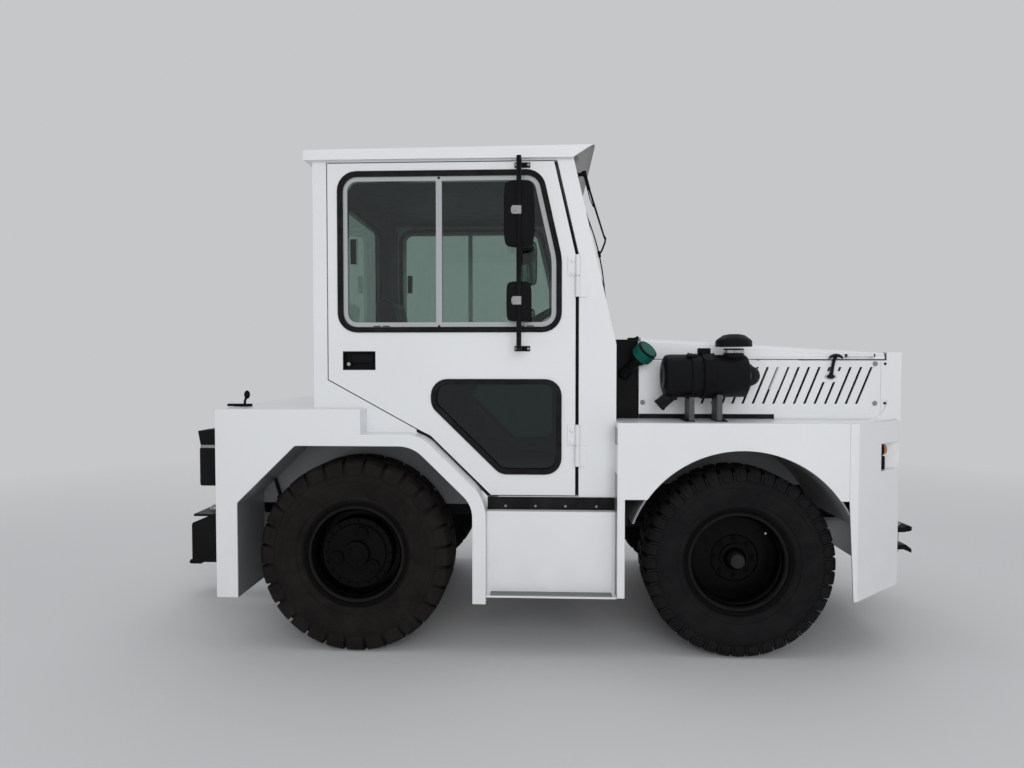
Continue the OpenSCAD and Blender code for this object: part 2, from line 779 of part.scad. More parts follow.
module cab_glass() color(glass) {
    on_screen() along_x(-frame_d / 2 - glass_t, -frame_d / 2) polygon(screen_pts(rubber_w + seat_gap));
    along_x(cab_rear_x + 12, cab_rear_x + 12 + glass_t) polygon(rear_pts(rubber_w + seat_gap));
}

wiper_y = -500;
blade_top = -114;
blade_low = -697;

// Wiper on its spindle over the screen's right half: arm, spine with three links, and blade
module wiper() color(black) {
    mid = (blade_top + blade_low) / 2;
    on_screen() translate([0, wiper_y, 0]) {
        translate([0, 0, -33]) {
            rod_x(17, seat_gap, 22);
            rod_x(9, 21, 58);
        }
        along_y(-6, 6) {
            polygon([[46, -24], [57, -24], [79, -338], [40, mid - 6], [30, mid + 2], [68, -334]]);
            polygon(box_pts(22, blade_low + 16, 30, blade_top - 16));
        }
        along_y(-4, 4) {
            for (z = [blade_low + 16, mid - 10, blade_top - 36]) polygon(box_pts(10, z, 26, z + 20));
            polygon(box_pts(-frame_d / 2 + seat_gap, blade_low, 12, blade_top));
        }
    }
}

driver_y = 210;
column_tilt = 32;
// How far the dashboard's top lies under the cab's top
dash_drop = 829;
dash_top_z = cab_top_z - dash_drop;
column_foot = [cowl_x - 147, driver_y, dash_top_z - 300];
column_l = 520;

module on_column() {
    translate(column_foot) rotate([0, -column_tilt, 0]) children();
}

module dashboard() color("#2c2f31") {
    difference() {
        along_y(-jamb_y + 2, jamb_y - 2) polygon(rounded(
            [[cowl_x - frame_d - 150, dash_top_z - 180], [cowl_x - frame_d, dash_top_z - 300],
             [cowl_x - frame_d, dash_top_z - 20], [cowl_x - frame_d - 60, dash_top_z],
             [cowl_x - frame_d - 190, dash_top_z - 60]],
            [20, 0, 0, 20, 20]
        ));
        on_column() cylinder(r = 46, h = column_l);
    }
    on_column() {
        cylinder(r = 45, h = column_l - 150);
        cylinder(r = 26, h = column_l - 40);
        cylinder(r = 12, h = column_l + 6);
    }
}

module steering_wheel() color(black) {
    on_column() translate([0, 0, column_l]) {
        difference() {
            union() {
                rotate_extrude() translate([190, 0]) circle(r = 14, $fn = 24);
                translate([0, 0, -25]) cylinder(r = 38, h = 30);
                for (a = [0, 120, 240]) rotate([0, 0, a]) block([20, -14, -12], [188, 14, -4]);
            }
            translate([0, 0, -26]) cylinder(r = 12 + run_gap, h = 40);
        }
    }
}

module seat() color("#33363a") {
    w = 460;
    x = rear_step_x - 70;
    translate([0, driver_y, 0]) {
        block([x - 420, -150, platform_z], [x - 60, 150, platform_z + 150]);
        along_y(-w / 2, w / 2) polygon(rounded(
            [[x - 460, platform_z + 150], [x, platform_z + 150], [x, platform_z + 262], [x - 360, platform_z + 240],
             [x - 455, platform_z + 680], [x - 560, platform_z + 660], [x - 505, platform_z + 300]],
            [30, 30, 40, 20, 40, 40, 60]
        ));
    }
}

// Door hinges: the fixed half carries the pin, the door's half turns on it

hinge_x = door_front_x(door_low_z) + 9;
hinge_y = half_cab + 12;
hinge_h = 180;
hinge_pin_r = 6;
hinge_rows = [808, 1541];

module hinge_barrel(z0, z1, bore) {
    translate([hinge_x, hinge_y, z0]) difference() {
        cylinder(r = 11.5, h = z1 - z0);
        if (bore) translate([0, 0, -1]) cylinder(r = hinge_pin_r + run_gap, h = z1 - z0 + 2);
    }
}

module door_hinges() color(paint) {
    on_both_sides() for (z = hinge_rows) {
        hinge_barrel(z, z + hinge_h / 2 - 1, false);
        translate([hinge_x, hinge_y, z]) cylinder(r = hinge_pin_r, h = hinge_h - 4);
        block([hinge_x + 2, half_cab, z], [hinge_x + 40, half_cab + 7, z + hinge_h / 2 - 1]);
    }
}

// Window outlines, counter-clockwise in X and Z
function upper_window_pts() =
    let (
        x0 = door_rear_x + window_rear_in,
        top = door_top_z - window_top_in,
        knee = door_knee_z - 10
    )
    rounded(
        [
            [x0, window_low_z],
            [door_front_x(door_low_z) - window_front_in, window_low_z],
            [door_front_x(door_low_z) - window_front_in, knee],
            [door_front_x(top) - window_front_in, top],
            [x0, top]
        ],
        [window_r, window_r, 300, window_r, window_r]
    );

function vent_pts() =
    let (
        low = door_low_z + vent_low_in,
        x1 = door_front_x(door_low_z) - window_front_in
    )
    rounded(
        [
            [vent_rear_x, slope_z(-vent_slope_in, vent_rear_x)],
            [slope_x(-vent_slope_in, low), low],
            [x1, low],
            [x1, vent_top_z],
            [vent_rear_x, vent_top_z]
        ],
        [vent_r, vent_r, vent_r, vent_r, vent_r]
    );

handle_x = door_rear_x + 64;
handle_z = door_hip_z + 42;
handle_l = 144;
handle_h = 82;
handle_d = 22;

module door(side) color(paint) on_side(side) {
    y_in = half_cab - door_t;
    difference() {
        along_y(y_in, half_cab) difference() {
            polygon(door_outline());
            polygon(upper_window_pts());
            polygon(vent_pts());
        }
        block([handle_x, half_cab - handle_d, handle_z], [handle_x + handle_l, half_cab + 1, handle_z + handle_h]);
    }
    for (z = hinge_rows) {
        hinge_barrel(z + hinge_h / 2 + 1, z + hinge_h, true);
        difference() {
            block([hinge_x - 42, half_cab, z + hinge_h / 2 + 1], [hinge_x - 2, half_cab + 7, z + hinge_h]);
            translate([hinge_x, hinge_y, z]) cylinder(r = hinge_pin_r + run_gap, h = hinge_h + 2);
        }
    }
}

module ring(pts, outer, inner) {
    difference() {
        polygon(grown(pts, -outer));
        polygon(grown(pts, -inner));
    }
}

mullion_x = (door_rear_x + window_rear_in + door_front_x(door_low_z) - window_front_in) / 2 - 44;
mullion_w = 26;

module door_seal(side) color(rubber) on_side(side) {
    along_y(half_cab - door_t, half_cab + rubber_proud) {
        ring(upper_window_pts(), seat_gap, rubber_w);
        ring(vent_pts(), seat_gap, rubber_w);
    }
}

module window_frame(side) color(alloy) on_side(side) {
    along_y(half_cab - door_t + 3, half_cab - 3) {
        ring(upper_window_pts(), rubber_w + seat_gap, rubber_w + alu_w);
        intersection() {
            polygon(grown(upper_window_pts(), -rubber_w - 6));
            translate([mullion_x - mullion_w / 2, window_low_z]) square([mullion_w, 900]);
        }
    }
}

module door_glass(side) color(glass) on_side(side) {
    y_mid = half_cab - door_t / 2;
    y_vent = y_mid - glass_t / 2;
    along_y(y_vent, y_vent + glass_t) {
        polygon(grown(vent_pts(), -rubber_w - seat_gap));
        difference() {
            polygon(grown(upper_window_pts(), -rubber_w - alu_w - seat_gap));
            translate([mullion_x - mullion_w / 2 - seat_gap, window_low_z]) square([mullion_w + 2 * seat_gap, 900]);
        }
    }
}

mirror_x = screen_top_x - 232;
mirror_off = 95;
mirror_low_z = 1318;
mirror_top_z = 2107;

module mirror_head(z0, z1, x0, x1) {
    y = half_cab + mirror_off;
    along_y(y - 22, y + 34) polygon(rounded(box_pts(x0, z0, x1, z1), [22, 22, 22, 22]));
}

module side_mirror(side) color(black) on_side(side) {
    y = half_cab + mirror_off;
    difference() {
        union() {
            mirror_head(1745, 2024, mirror_x - 75, mirror_x + 75);
            mirror_head(1432, 1600, mirror_x - 62, mirror_x + 62);
        }
        translate([mirror_x, y, 0]) cylinder(r = 10 + seat_gap, h = 3000);
    }
    translate([mirror_x, y, mirror_low_z]) cylinder(r = 10, h = mirror_top_z + 16 - mirror_low_z);
    for (z = [mirror_low_z, mirror_top_z]) {
        block([mirror_x - 12, half_cab + 1, z - 6], [mirror_x + 12, y, z + 6]);
        block([mirror_x - 35, half_cab, z - 12], [mirror_x + 35, half_cab + 6, z + 12]);
    }
}

// Hood: a shallow lid whose top falls towards the front
hood_front_x = front_x - upright_d - 10;
hood_fall = atan((hood_rear_z - hood_front_z) / (hood_front_x - hood_rear_x));
// Hinges on top of the hood's rear edge
hood_axis = [hood_rear_x - 6.5, hood_rear_z + 2];
hood_barrel_r = 6;
hood_pin_r = 3;
hood_hinge_y = 400;
hood_hinge_l = 40;

module hood_form(inset) {
    w = half_hood - inset;
    h = 160;
    r = 26 - inset;
    intersection() {
        translate([hood_rear_x, 0, hood_rear_z - inset]) rotate([0, hood_fall, 0]) along_x(-50, 1400)
            polygon(rounded(box_pts(-w, -h, w, 0), [0, 0, r, r]));
        block([hood_rear_x + inset, -w, hood_seam_z - (inset > 0 ? 1 : 0)], [hood_front_x - inset, w, hood_rear_z + 10]);
    }
}

// Lid with a hinge leaf at each side of its rear edge and a grab bar along each front edge
module hood() color(paint) {
    y0 = hood_hinge_y;
    y1 = y0 + hood_hinge_l;
    difference() {
        hood_form(0);
        hood_form(sheet_t);
    }
    on_both_sides() {
        difference() {
            translate([hood_axis.x, 0, hood_axis.y]) union() {
                rod_y(hood_barrel_r, y0, y1);
                rotate([0, hood_fall, 0]) block([0, y0, -4], [46, y1, 2]);
            }
            translate([hood_axis.x, 0, hood_axis.y]) rod_y(hood_pin_r + run_gap, y0 - 1, y1 + 1);
        }
        translate([0, 0, hood_seam_z + 16]) {
            translate([0, half_hood + 20, 0]) rod_x(6, grip_x[0], grip_x[1]);
            for (x = [grip_x[0] + 6, grip_x[1] - 6]) translate([x, 0, 0]) rod_y(5, half_hood - 1, half_hood + 20);
        }
    }
}

grip_x = [front_x - 247, front_x - 124];

latch_x = front_x - 303;
latch_z = hood_seam_z - 78;
panel_rear_x = hood_rear_x - 9;
panel_front_x = front_x - upright_d - 26;
panel_low_z = front_deck_z;
panel_top_z = hood_seam_z - 6;
slot_low_z = front_deck_z + slot_rise;
slot_top_z = slot_low_z + slot_h;
slot_last_x = panel_front_x - 110;

module hood_latches() color(rubber) {
    on_both_sides() {
        translate([latch_x, 0, latch_z]) rod_y(20, half_hood, half_hood + 9);
        block([latch_x - 6, half_hood + 5.5, latch_z], [latch_x + 6, half_hood + 11, hood_seam_z + 23]);
        translate([0, half_hood + 12, hood_seam_z + 18]) rod_x(7, latch_x - 22, latch_x + 46);
    }
}

// A slot that leans forward, drawn between two heights
module slot(x, z0, z1) {
    x0 = x + slot_lean * (z0 - slot_low_z) / slot_h;
    x1 = x + slot_lean * (z1 - slot_low_z) / slot_h;
    polygon([[x0, z0], [x0 + slot_w, z0], [x1 + slot_w, z1], [x1, z1]]);
}

// Side panels of the engine bay. The slots stop short around the latch's foot.
module side_grilles() color(paint) on_both_sides() {
    latch_room = 24;
    along_y(half_hood - 6, half_hood) difference() {
        polygon(box_pts(panel_rear_x, panel_low_z, panel_front_x, panel_top_z));
        for (i = [0:slot_count - 1]) {
            x = slot_last_x - i * slot_pitch;
            if (abs(x + slot_lean * (latch_z - slot_low_z) / slot_h - latch_x) < slot_pitch * 0.8) {
                slot(x, slot_low_z, latch_z - latch_room);
                slot(x, latch_z + latch_room, slot_top_z);
            } else slot(x, slot_low_z, slot_top_z);
        }
    }
    block([hood_rear_x, half_hood - 30, panel_low_z], [panel_front_x, half_hood - 5, panel_low_z + 6]);
}

module front_grille() color(black) {
    x = front_x - 34;
    w = radiator_half_w + 12;
    z0 = radiator_low_z - 12;
    z1 = radiator_top_z + 12;
    along_x(x, front_x - sheet_t) difference() {
        polygon(box_pts(-w, z0, w, z1));
        polygon(box_pts(-w + 20, z0 + 20, w - 20, z1 - 20));
    }
    bars = 17;
    for (i = [1:bars]) {
        z = z0 + 20 + (z1 - z0 - 40) * i / (bars + 1);
        block([x, -w + 19, z - 5], [x + 20, w - 19, z + 5]);
    }
    block([x, -8, z0 + 19], [x + 20, 8, z1 - 19]);
}

module radiator() color("#2a2c2e") {
    block([radiator_x, -radiator_half_w, radiator_low_z + 8], [radiator_x + 88, radiator_half_w, radiator_top_z - 6]);
}

engine_x = front_axle_x - 315;
engine_low_z = 470;

module engine() color("#3b4043") {
    block([engine_x, -engine_w / 2, engine_low_z], [engine_x + engine_l, engine_w / 2, engine_low_z + engine_h]);
    for (x = [engine_x + 120, engine_x + engine_l - 180])
        block([x, -rail_out_y + rail_w, rail_low_z + 110], [x + 60, rail_out_y - rail_w, rail_low_z + 140]);
}

tank_x = [cowl_x + 15, hood_rear_x - 13];
tank_top_z = hood_rear_z - 9;
// Foot of the filler neck in the tank's right side, and its lean from the vertical and from ahead
filler_foot = [tank_x[0] + 35, -half_hood + 15, hood_rear_z - 163];
filler_lean = [50, -42];

// Tank across the engine bay. The fixed leaves of the hood's hinges lie on its top.
module hydraulic_tank() color(black) {
    w = half_hood - sheet_t;
    block([tank_x[0], -w, front_deck_z - 60], [tank_x[1], w, tank_top_z]);
    on_both_sides() {
        y0 = hood_hinge_y + hood_hinge_l + 1;
        block([tank_x[0] + 60, y0, tank_top_z - 1], [hood_axis.x, y0 + hood_hinge_l, hood_axis.y - 1]);
        translate([hood_axis.x, 0, hood_axis.y]) {
            rod_y(hood_barrel_r, y0, y0 + hood_hinge_l);
            rod_y(hood_pin_r, hood_hinge_y, y0 + 1);
        }
    }
    // filler neck and cap, leaning forward and out over the side panel
    translate(filler_foot) {
        sphere(r = 29);
        rotate([0, filler_lean[0], filler_lean[1]]) {
            cylinder(r = 25, h = 122);
            translate([0, 0, 120]) cylinder(r = 46, h = 50);
        }
    }
}

module on_cleaner() {
    translate([0, -cleaner_y, cleaner_z]) children();
}

module air_cleaner() color(black) {
    on_cleaner() {
        rod_x(cleaner_r, cleaner_x + 20, cleaner_x + cleaner_l);
        rod_x(cleaner_r - 12, cleaner_x, cleaner_x + 20);
        rod_x(cleaner_r + 5, cleaner_x + 113, cleaner_x + 134);
        translate([neck_x, 0, 0]) {
            cylinder(r = 40, h = 130);
            translate([0, 0, cap_rise]) cylinder(r = rain_cap_r, h = 22);
            translate([0, 0, cap_rise + 22]) cylinder(r1 = rain_cap_r, r2 = 40, h = 34);
        }
        // dust ejector
        translate([cleaner_x + 60, 0, 0]) rotate([0, 215, 0]) cylinder(r = 26, h = cleaner_r + 30);
    }
}

neck_x = cleaner_x + cleaner_l - 51;
cap_rise = 125;

module air_cleaner_mount() color(black) {
    for (x = [cleaner_x + 117, cleaner_x + 235]) {
        difference() {
            block([x - 14, -cleaner_y - 60, front_deck_z], [x + 14, -cleaner_y + 60, cleaner_z - 30]);
            on_cleaner() rod_x(cleaner_r + 5 + seat_gap, cleaner_x - 5, cleaner_x + cleaner_l + 5);
            block([x - 20, -cleaner_y - 36, front_deck_z + 12], [x + 20, -cleaner_y + 36, cleaner_z - cleaner_r - 18]);
        }
    }
    // clamp band with its lug
    on_cleaner() difference() {
        union() {
            rod_x(cleaner_r + 5, cleaner_x + 163, cleaner_x + 217);
            block([cleaner_x + 150, -12, cleaner_r], [cleaner_x + 205, 12, cleaner_r + 26]);
        }
        rod_x(cleaner_r + seat_gap, cleaner_x + 140, cleaner_x + 230);
    }
}

module air_elbow() color(rubber) {
    x = cleaner_x + cleaner_l + seat_gap;
    turn_x = x + 18;
    panel_y = cleaner_y - half_hood - seat_gap;
    on_cleaner() difference() {
        union() {
            rod_x(hose_r + 3, x, x + 12);
            rod_x(hose_r, x, turn_x);
            translate([turn_x, 0, 0]) {
                sphere(r = hose_r);
                rod_y(hose_r, 0, panel_y);
                rod_y(hose_r + 18, panel_y - 8, panel_y);
            }
        }
        // room for the drum, which the hose's mouth closes
        rod_x(cleaner_r + seat_gap, cleaner_x, x);
    }
}

lamp_y = mask_face_y - 75;
indicator_y = mask_face_y + 45;
lamp_z = pocket_low_z + pocket_h / 2;
pocket_back_x = front_x - 165;

// Headlamps through the mask's face, and direction indicators on the rear walls of the corner pockets
module front_lamps() color("#d6dade") {
    on_both_sides() {
        translate([0, lamp_y, lamp_z]) {
            rod_x(headlamp_r, front_x - 62, front_x + 3);
            rod_x(headlamp_r + 6, front_x, front_x + 8);
            rod_x(30, front_x - 96, front_x - 61);
        }
        translate([0, indicator_y, lamp_z + 28]) {
            rod_x(26, pocket_back_x + 56, pocket_back_x + 88);
            rod_x(18, pocket_back_x, pocket_back_x + 57);
        }
    }
}

tail_lamp_z = deck_z - 350;

// Lamp boxes with a hood over each
module tail_lamps() color(black) {
    on_both_sides() translate([rear_x, 0, tail_lamp_z]) along_y(half_body - 190, half_body - 90) polygon([
        [0, 0], [0, 197], [0, 264], [-120, 248], [-108, 184], [-112, 174], [-112, 0]
    ]);
}

module steps() color(paint) {
    x1 = front_rear_x;
    tread_z = skirt_z - 5;
    on_both_sides() {
        block([post_front_x, step_panel_y - sheet_t, tread_z + sheet_t], [x1, step_panel_y, sill_z]);
        block([post_front_x, half_cab, sill_z - sheet_t], [x1, step_panel_y - sheet_t + 1, sill_z]);
        block([post_front_x, step_panel_y - 40, tread_z], [x1, half_body - 4, tread_z + sheet_t]);
    }
}

module sills() color(black) {
    on_both_sides() block([post_front_x + 1, half_cab, sill_z], [front_rear_x - 1, half_cab + 9, floor_z - 7]);
}

// Rear coupling: stacked plates between two cheeks, with one pin through them all

cheek_x = -tip_x + 22;
pin_x = cheek_x + 70;
jaw_end_x = pin_x + 118;
hitch_pitch = (hitch_top_z - hitch_low_z - hitch_t) / hitch_steps;

module rear_coupling() color(black) {
    block([rear_x - hitch_t, -hitch_half_w - 30, hitch_low_z], [rear_x, hitch_half_w + 30, 640]);
    on_both_sides() along_y(hitch_half_w, hitch_half_w + hitch_t) polygon([
        [cheek_x + 12, hitch_low_z],
        [cheek_x, hitch_low_z + 20],
        [cheek_x, hitch_top_z - 55],
        [cheek_x + 5, hitch_top_z - 44],
        [cheek_x + 110, hitch_top_z],
        [rear_x - hitch_t, 600],
        [rear_x - hitch_t, hitch_low_z]
    ]);
    block([jaw_end_x, -hitch_half_w, hitch_low_z], [jaw_end_x + hitch_t, hitch_half_w, hitch_top_z]);
}

module jaw_plates() color(black) difference() {
    union() {
        for (i = [0:hitch_steps])
            translate([0, 0, hitch_low_z + i * hitch_pitch])
                block([cheek_x + 6, -hitch_half_w, 0], [jaw_end_x, hitch_half_w, hitch_t]);
        // lip that guides a drawbar's eye on to the lowest plate
        along_y(-hitch_half_w, hitch_half_w) polygon([
            [-tip_x, hitch_low_z - 4],
            [-tip_x + 7, hitch_low_z - 12],
            [cheek_x + 42, hitch_low_z - 12],
            [cheek_x + 64, hitch_low_z],
            [cheek_x + 6, hitch_low_z + hitch_t],
            [-tip_x + 6, hitch_low_z + hitch_t - 2]
        ]);
    }
    translate([pin_x, 0, hitch_low_z - 20]) cylinder(r = hitch_pin_r + 1, h = hitch_top_z - hitch_low_z + 60);
}

front_hook_z = [290, 380];
front_pin_x = tip_x - 74;

module front_coupling() color(black) {
    difference() {
        union() {
            block([front_x, -90, 262], [front_x + hitch_t, 90, 432]);
            intersection() {
                linear_extrude(600) polygon(rounded(
                    [[front_x + hitch_t, -70], [tip_x, -38], [tip_x, 38], [front_x + hitch_t, 70]],
                    [0, 24, 24, 0]
                ));
                // lips that flare apart towards their tips
                along_y(-80, 80) {
                    polygon([[front_x + hitch_t, front_hook_z[1]], [front_pin_x + 24, front_hook_z[1]],
                             [tip_x, front_hook_z[1] + 8], [tip_x, front_hook_z[1] + 24],
                             [tip_x - 34, front_hook_z[1] + 36], [front_pin_x + 27, front_hook_z[1] + 26],
                             [front_x + hitch_t, front_hook_z[1] + 26]]);
                    polygon([[front_x + hitch_t, front_hook_z[0]], [front_pin_x + 24, front_hook_z[0]],
                             [tip_x, front_hook_z[0] - 22], [tip_x, front_hook_z[0] - 4],
                             [front_pin_x + 34, front_hook_z[0] + 26], [front_x + hitch_t, front_hook_z[0] + 26]]);
                }
            }
            block([front_x + hitch_t, -60, front_hook_z[0] + 26], [front_pin_x - 90, 60, front_hook_z[1]]);
        }
        translate([front_pin_x, 0, front_hook_z[0] - 1]) cylinder(r = hitch_pin_r + 1, h = 130);
    }
}

module pin(x, z0, z1) {
    stub = 4;
    translate([x, 0, z0 - 20]) cylinder(r = hitch_pin_r, h = z1 - z0 + 20 + stub);
    // head over the pin's end, with an eye to lift it by
    translate([x, 0, z1 + seat_gap]) difference() {
        union() {
            cylinder(r = hitch_pin_r + 9, h = 10);
            translate([0, 0, 10 - seat_gap]) difference() {
                rotate([90, 0, 0]) translate([0, 0, -4]) cylinder(r = 20, h = 8);
                rotate([90, 0, 0]) translate([0, 0, -5]) cylinder(r = 11, h = 10);
                translate([0, 0, -20]) cube([60, 20, 40], center = true);
            }
        }
        translate([0, 0, -1]) cylinder(r = hitch_pin_r + seat_gap, h = stub + 1);
    }
}

module coupling_pins() color(alloy) {
    pin(pin_x, hitch_low_z, hitch_low_z + hitch_steps * hitch_pitch + hitch_t);
    pin(front_pin_x, front_hook_z[0], front_hook_z[1] + 26);
}

module release_lever() color(black) {
    translate([0, -600, deck_z]) {
        block([rear_x - 34, -18, 0], [rear_x + 80, 18, 12]);
        translate([rear_x + 66, 0, 12]) cylinder(r = 9, h = 30);
        translate([rear_x + 66, 0, 42]) cylinder(r = 13, h = 20);
    }
}

// Front axle: a beam with a fork at each end, and a knuckle on a kingpin in each fork
eye_h = 46;
fork_gap = 58;

module front_axle() color(black) {
    z = front_tyre_r;
    translate([front_axle_x, 0, z]) {
        block([-45, -kingpin_y + 80, -45], [45, kingpin_y - 80, 45]);
        on_both_sides() difference() {
            union() {
                block([-45, kingpin_y - 90, -fork_gap - eye_h], [45, kingpin_y - 62, fork_gap + eye_h]);
                for (s = [-fork_gap - eye_h, fork_gap]) translate([0, 0, s]) {
                    block([-38, kingpin_y - 70, 0], [38, kingpin_y, eye_h]);
                    translate([0, kingpin_y, 0]) cylinder(r = 38, h = eye_h);
                }
            }
            translate([0, kingpin_y, -200]) cylinder(r = kingpin_r + run_gap, h = 400);
        }
        // leaf springs with their hangers under the rails
        on_both_sides() {
            block([-420, rail_out_y - rail_w + 4, 44], [420, rail_out_y - 4, 70]);
            block([-250, rail_out_y - rail_w + 4, 70], [250, rail_out_y - 4, 84]);
            for (x = [-420, 390])
                block([x, rail_out_y - rail_w + 4, 70], [x + 30, rail_out_y - 4, rail_low_z - z]);
        }
    }
}

module knuckle(side) color(black) on_side(side) {
    translate([front_axle_x, kingpin_y, front_tyre_r]) {
        cylinder(r = 42, h = 2 * fork_gap - 4, center = true);
        cylinder(r = kingpin_r, h = 2 * (fork_gap + eye_h) + 10, center = true);
        rod_y(front_spindle_r, 20, tyre_out_y - 45 - kingpin_y);
        rod_y(150, 50, 60);
        // steering arm with its ball pin
        block([-steer_arm_l, -16, -50], [-20, 16, -26]);
        translate([-steer_arm_l, 0, -50]) cylinder(r = 19, h = 24);
        translate([-steer_arm_l, 0, -84]) cylinder(r = 9, h = 40);
    }
}

module tie_rod() color(black) {
    translate([front_axle_x - steer_arm_l, 0, front_tyre_r - 68]) {
        rod_y(13, -kingpin_y + 15, kingpin_y - 15);
        for (s = [-1, 1]) translate([0, s * kingpin_y, 0]) difference() {
            cylinder(r = 19, h = 26, center = true);
            cylinder(r = s > 0 ? 9 + run_gap : 9.6, h = 60, center = true);
        }
    }
}

module rear_axle() color(black) {
    hub_y = well_y + 30;
    translate([rear_axle_x, 0, rear_tyre_r]) {
        rod_y(70, -hub_y, hub_y);
        sphere(r = 145);
        on_both_sides() {
            rod_y(rear_spindle_r, hub_y - 1, rim_out_y - 60);
            rod_y(120, hub_y - 8, hub_y + 8);
            block([-60, rail_out_y - rail_w, 60], [60, rail_out_y, rail_low_z - rear_tyre_r]);
        }
    }
}

// Rim profile in radius and width, from the inner to the outer flange
module rim_profile() {
    w = rim_out_y - rim_in_y;
    seat = 190;
    t = 9;
    polygon([
        [seat - t, 0], [rim_flange_r, 0], [rim_flange_r, 7], [seat, 7],
        [seat, w - 7], [rim_flange_r, w - 7], [rim_flange_r, w], [seat - t, w]
    ]);
}

// A wheel on its axis, with its inner flange at height 0
module front_rim_form() {
    w = rim_out_y - rim_in_y;
    disc = w - 90;
    difference() {
        union() {
            rotate_extrude() rim_profile();
            translate([0, 0, disc - 8]) cylinder(r = 184, h = 8);
            translate([0, 0, disc - 40]) cylinder(r = 62, h = 82);
            translate([0, 0, disc + 42]) cylinder(r1 = 48, r2 = 36, h = 18);
            for (a = [0:45:315]) rotate([0, 0, a]) translate([83, 0, disc - 2]) cylinder(r = 13, h = 20);
        }
        translate([0, 0, disc - 41]) cylinder(r = front_spindle_r + run_gap, h = tyre_out_y - 44.5 - rim_in_y - disc + 41);
    }
}

module rear_rim_form() {
    w = rim_out_y - rim_in_y;
    disc = w - 45;
    difference() {
        union() {
            rotate_extrude() rim_profile();
            translate([0, 0, disc - 70]) cylinder(r = 130, h = 60);
            translate([0, 0, disc - 12]) cylinder(r = 184, h = 12);
            cylinder_stack(disc);
        }
        translate([0, 0, disc - 71]) cylinder(r = rear_spindle_r + run_gap, h = rim_out_y - 59.5 - rim_in_y - disc + 71);
    }
}

// Planetary hub: cover, centre boss and three planet caps
module cylinder_stack(disc) {
    translate([0, 0, disc]) cylinder(r = 155, h = 12);
    translate([0, 0, disc + 12]) cylinder(r = 128, h = 10);
    translate([0, 0, disc + 22]) cylinder(r = 54, h = 16);
    for (a = [100, 220, 340]) rotate([0, 0, a]) translate([82, 0, disc + 22]) cylinder(r = 30, h = 9);
}

// Turns a wheel form, whose axis is Z, so that its outer side faces the vehicle's left
module place_wheel(side, x, z) {
    on_side(side) translate([x, rim_in_y, z]) rotate([-90, 0, 0]) children();
}

// Tyre profile in radius and width: beads between the rim's flanges, bulged walls and tread
module tyre_profile(r) {
    w = rim_out_y - rim_in_y;
    bulge = (tyre_w - w) / 2;
    polygon([
        [191, 7.5], [232, 7.5], [262, -bulge * 0.7], [305, -bulge], [r - 42, -bulge + 4], [r - 8, 4],
        [r, 22], [r, w - 22], [r - 8, w - 4], [r - 42, w + bulge - 4], [305, w + bulge], [262, w + bulge * 0.7],
        [232, w - 7.5], [191, w - 7.5]
    ]);
}

module tyre_form(r) {
    rotate_extrude($fn = 72) tyre_profile(r);
}

module rim_front(side) color(black) {
    place_wheel(side, front_axle_x, front_tyre_r) front_rim_form();
}

module rim_rear(side) color(black) {
    place_wheel(side, rear_axle_x, rear_tyre_r) rear_rim_form();
}

module tyre_front(side) color(rubber) {
    place_wheel(side, front_axle_x, front_tyre_r) tyre_form(front_tyre_r);
}

module tyre_rear(side) color(rubber) {
    place_wheel(side, rear_axle_x, rear_tyre_r) tyre_form(rear_tyre_r);
}

frame();
rear_deck();
rear_fenders();
rear_wells();
front_decks();
front_fenders();
front_wells();
front_mask();
cab_shell();
cab_roof();
cab_floor();
cab_seals();
cab_glass();
wiper();
dashboard();
steering_wheel();
seat();
door_hinges();
door(1);  // door_left
door(-1);  // door_right
door_glass(1);  // door_glass_left
door_glass(-1);  // door_glass_right
door_seal(1);  // door_seal_left
door_seal(-1);  // door_seal_right
window_frame(1);  // window_frame_left
window_frame(-1);  // window_frame_right
side_mirror(1);  // mirror_left
side_mirror(-1);  // mirror_right
hood();
hood_latches();
side_grilles();
front_grille();
radiator();
engine();
hydraulic_tank();
air_cleaner();
air_cleaner_mount();
air_elbow();
front_lamps();
tail_lamps();
steps();
sills();
rear_coupling();
jaw_plates();
front_coupling();
coupling_pins();
release_lever();
front_axle();
rear_axle();
knuckle(1);  // knuckle_left
knuckle(-1);  // knuckle_right
tie_rod();
rim_front(1);  // rim_front_left
rim_front(-1);  // rim_front_right
rim_rear(1);  // rim_rear_left
rim_rear(-1);  // rim_rear_right
tyre_front(1);  // tyre_front_left
tyre_front(-1);  // tyre_front_right
tyre_rear(1);  // tyre_rear_left
tyre_rear(-1);  // tyre_rear_right
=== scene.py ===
"""Dresses the baggage tug: a finish for every piece, and the details that its solids leave out."""

from __future__ import annotations

import json
import logging
import math
from dataclasses import dataclass
from enum import Enum
from functools import reduce
from typing import Callable, Iterable, Sequence

import bmesh
import bpy
from mathutils import Matrix, Vector

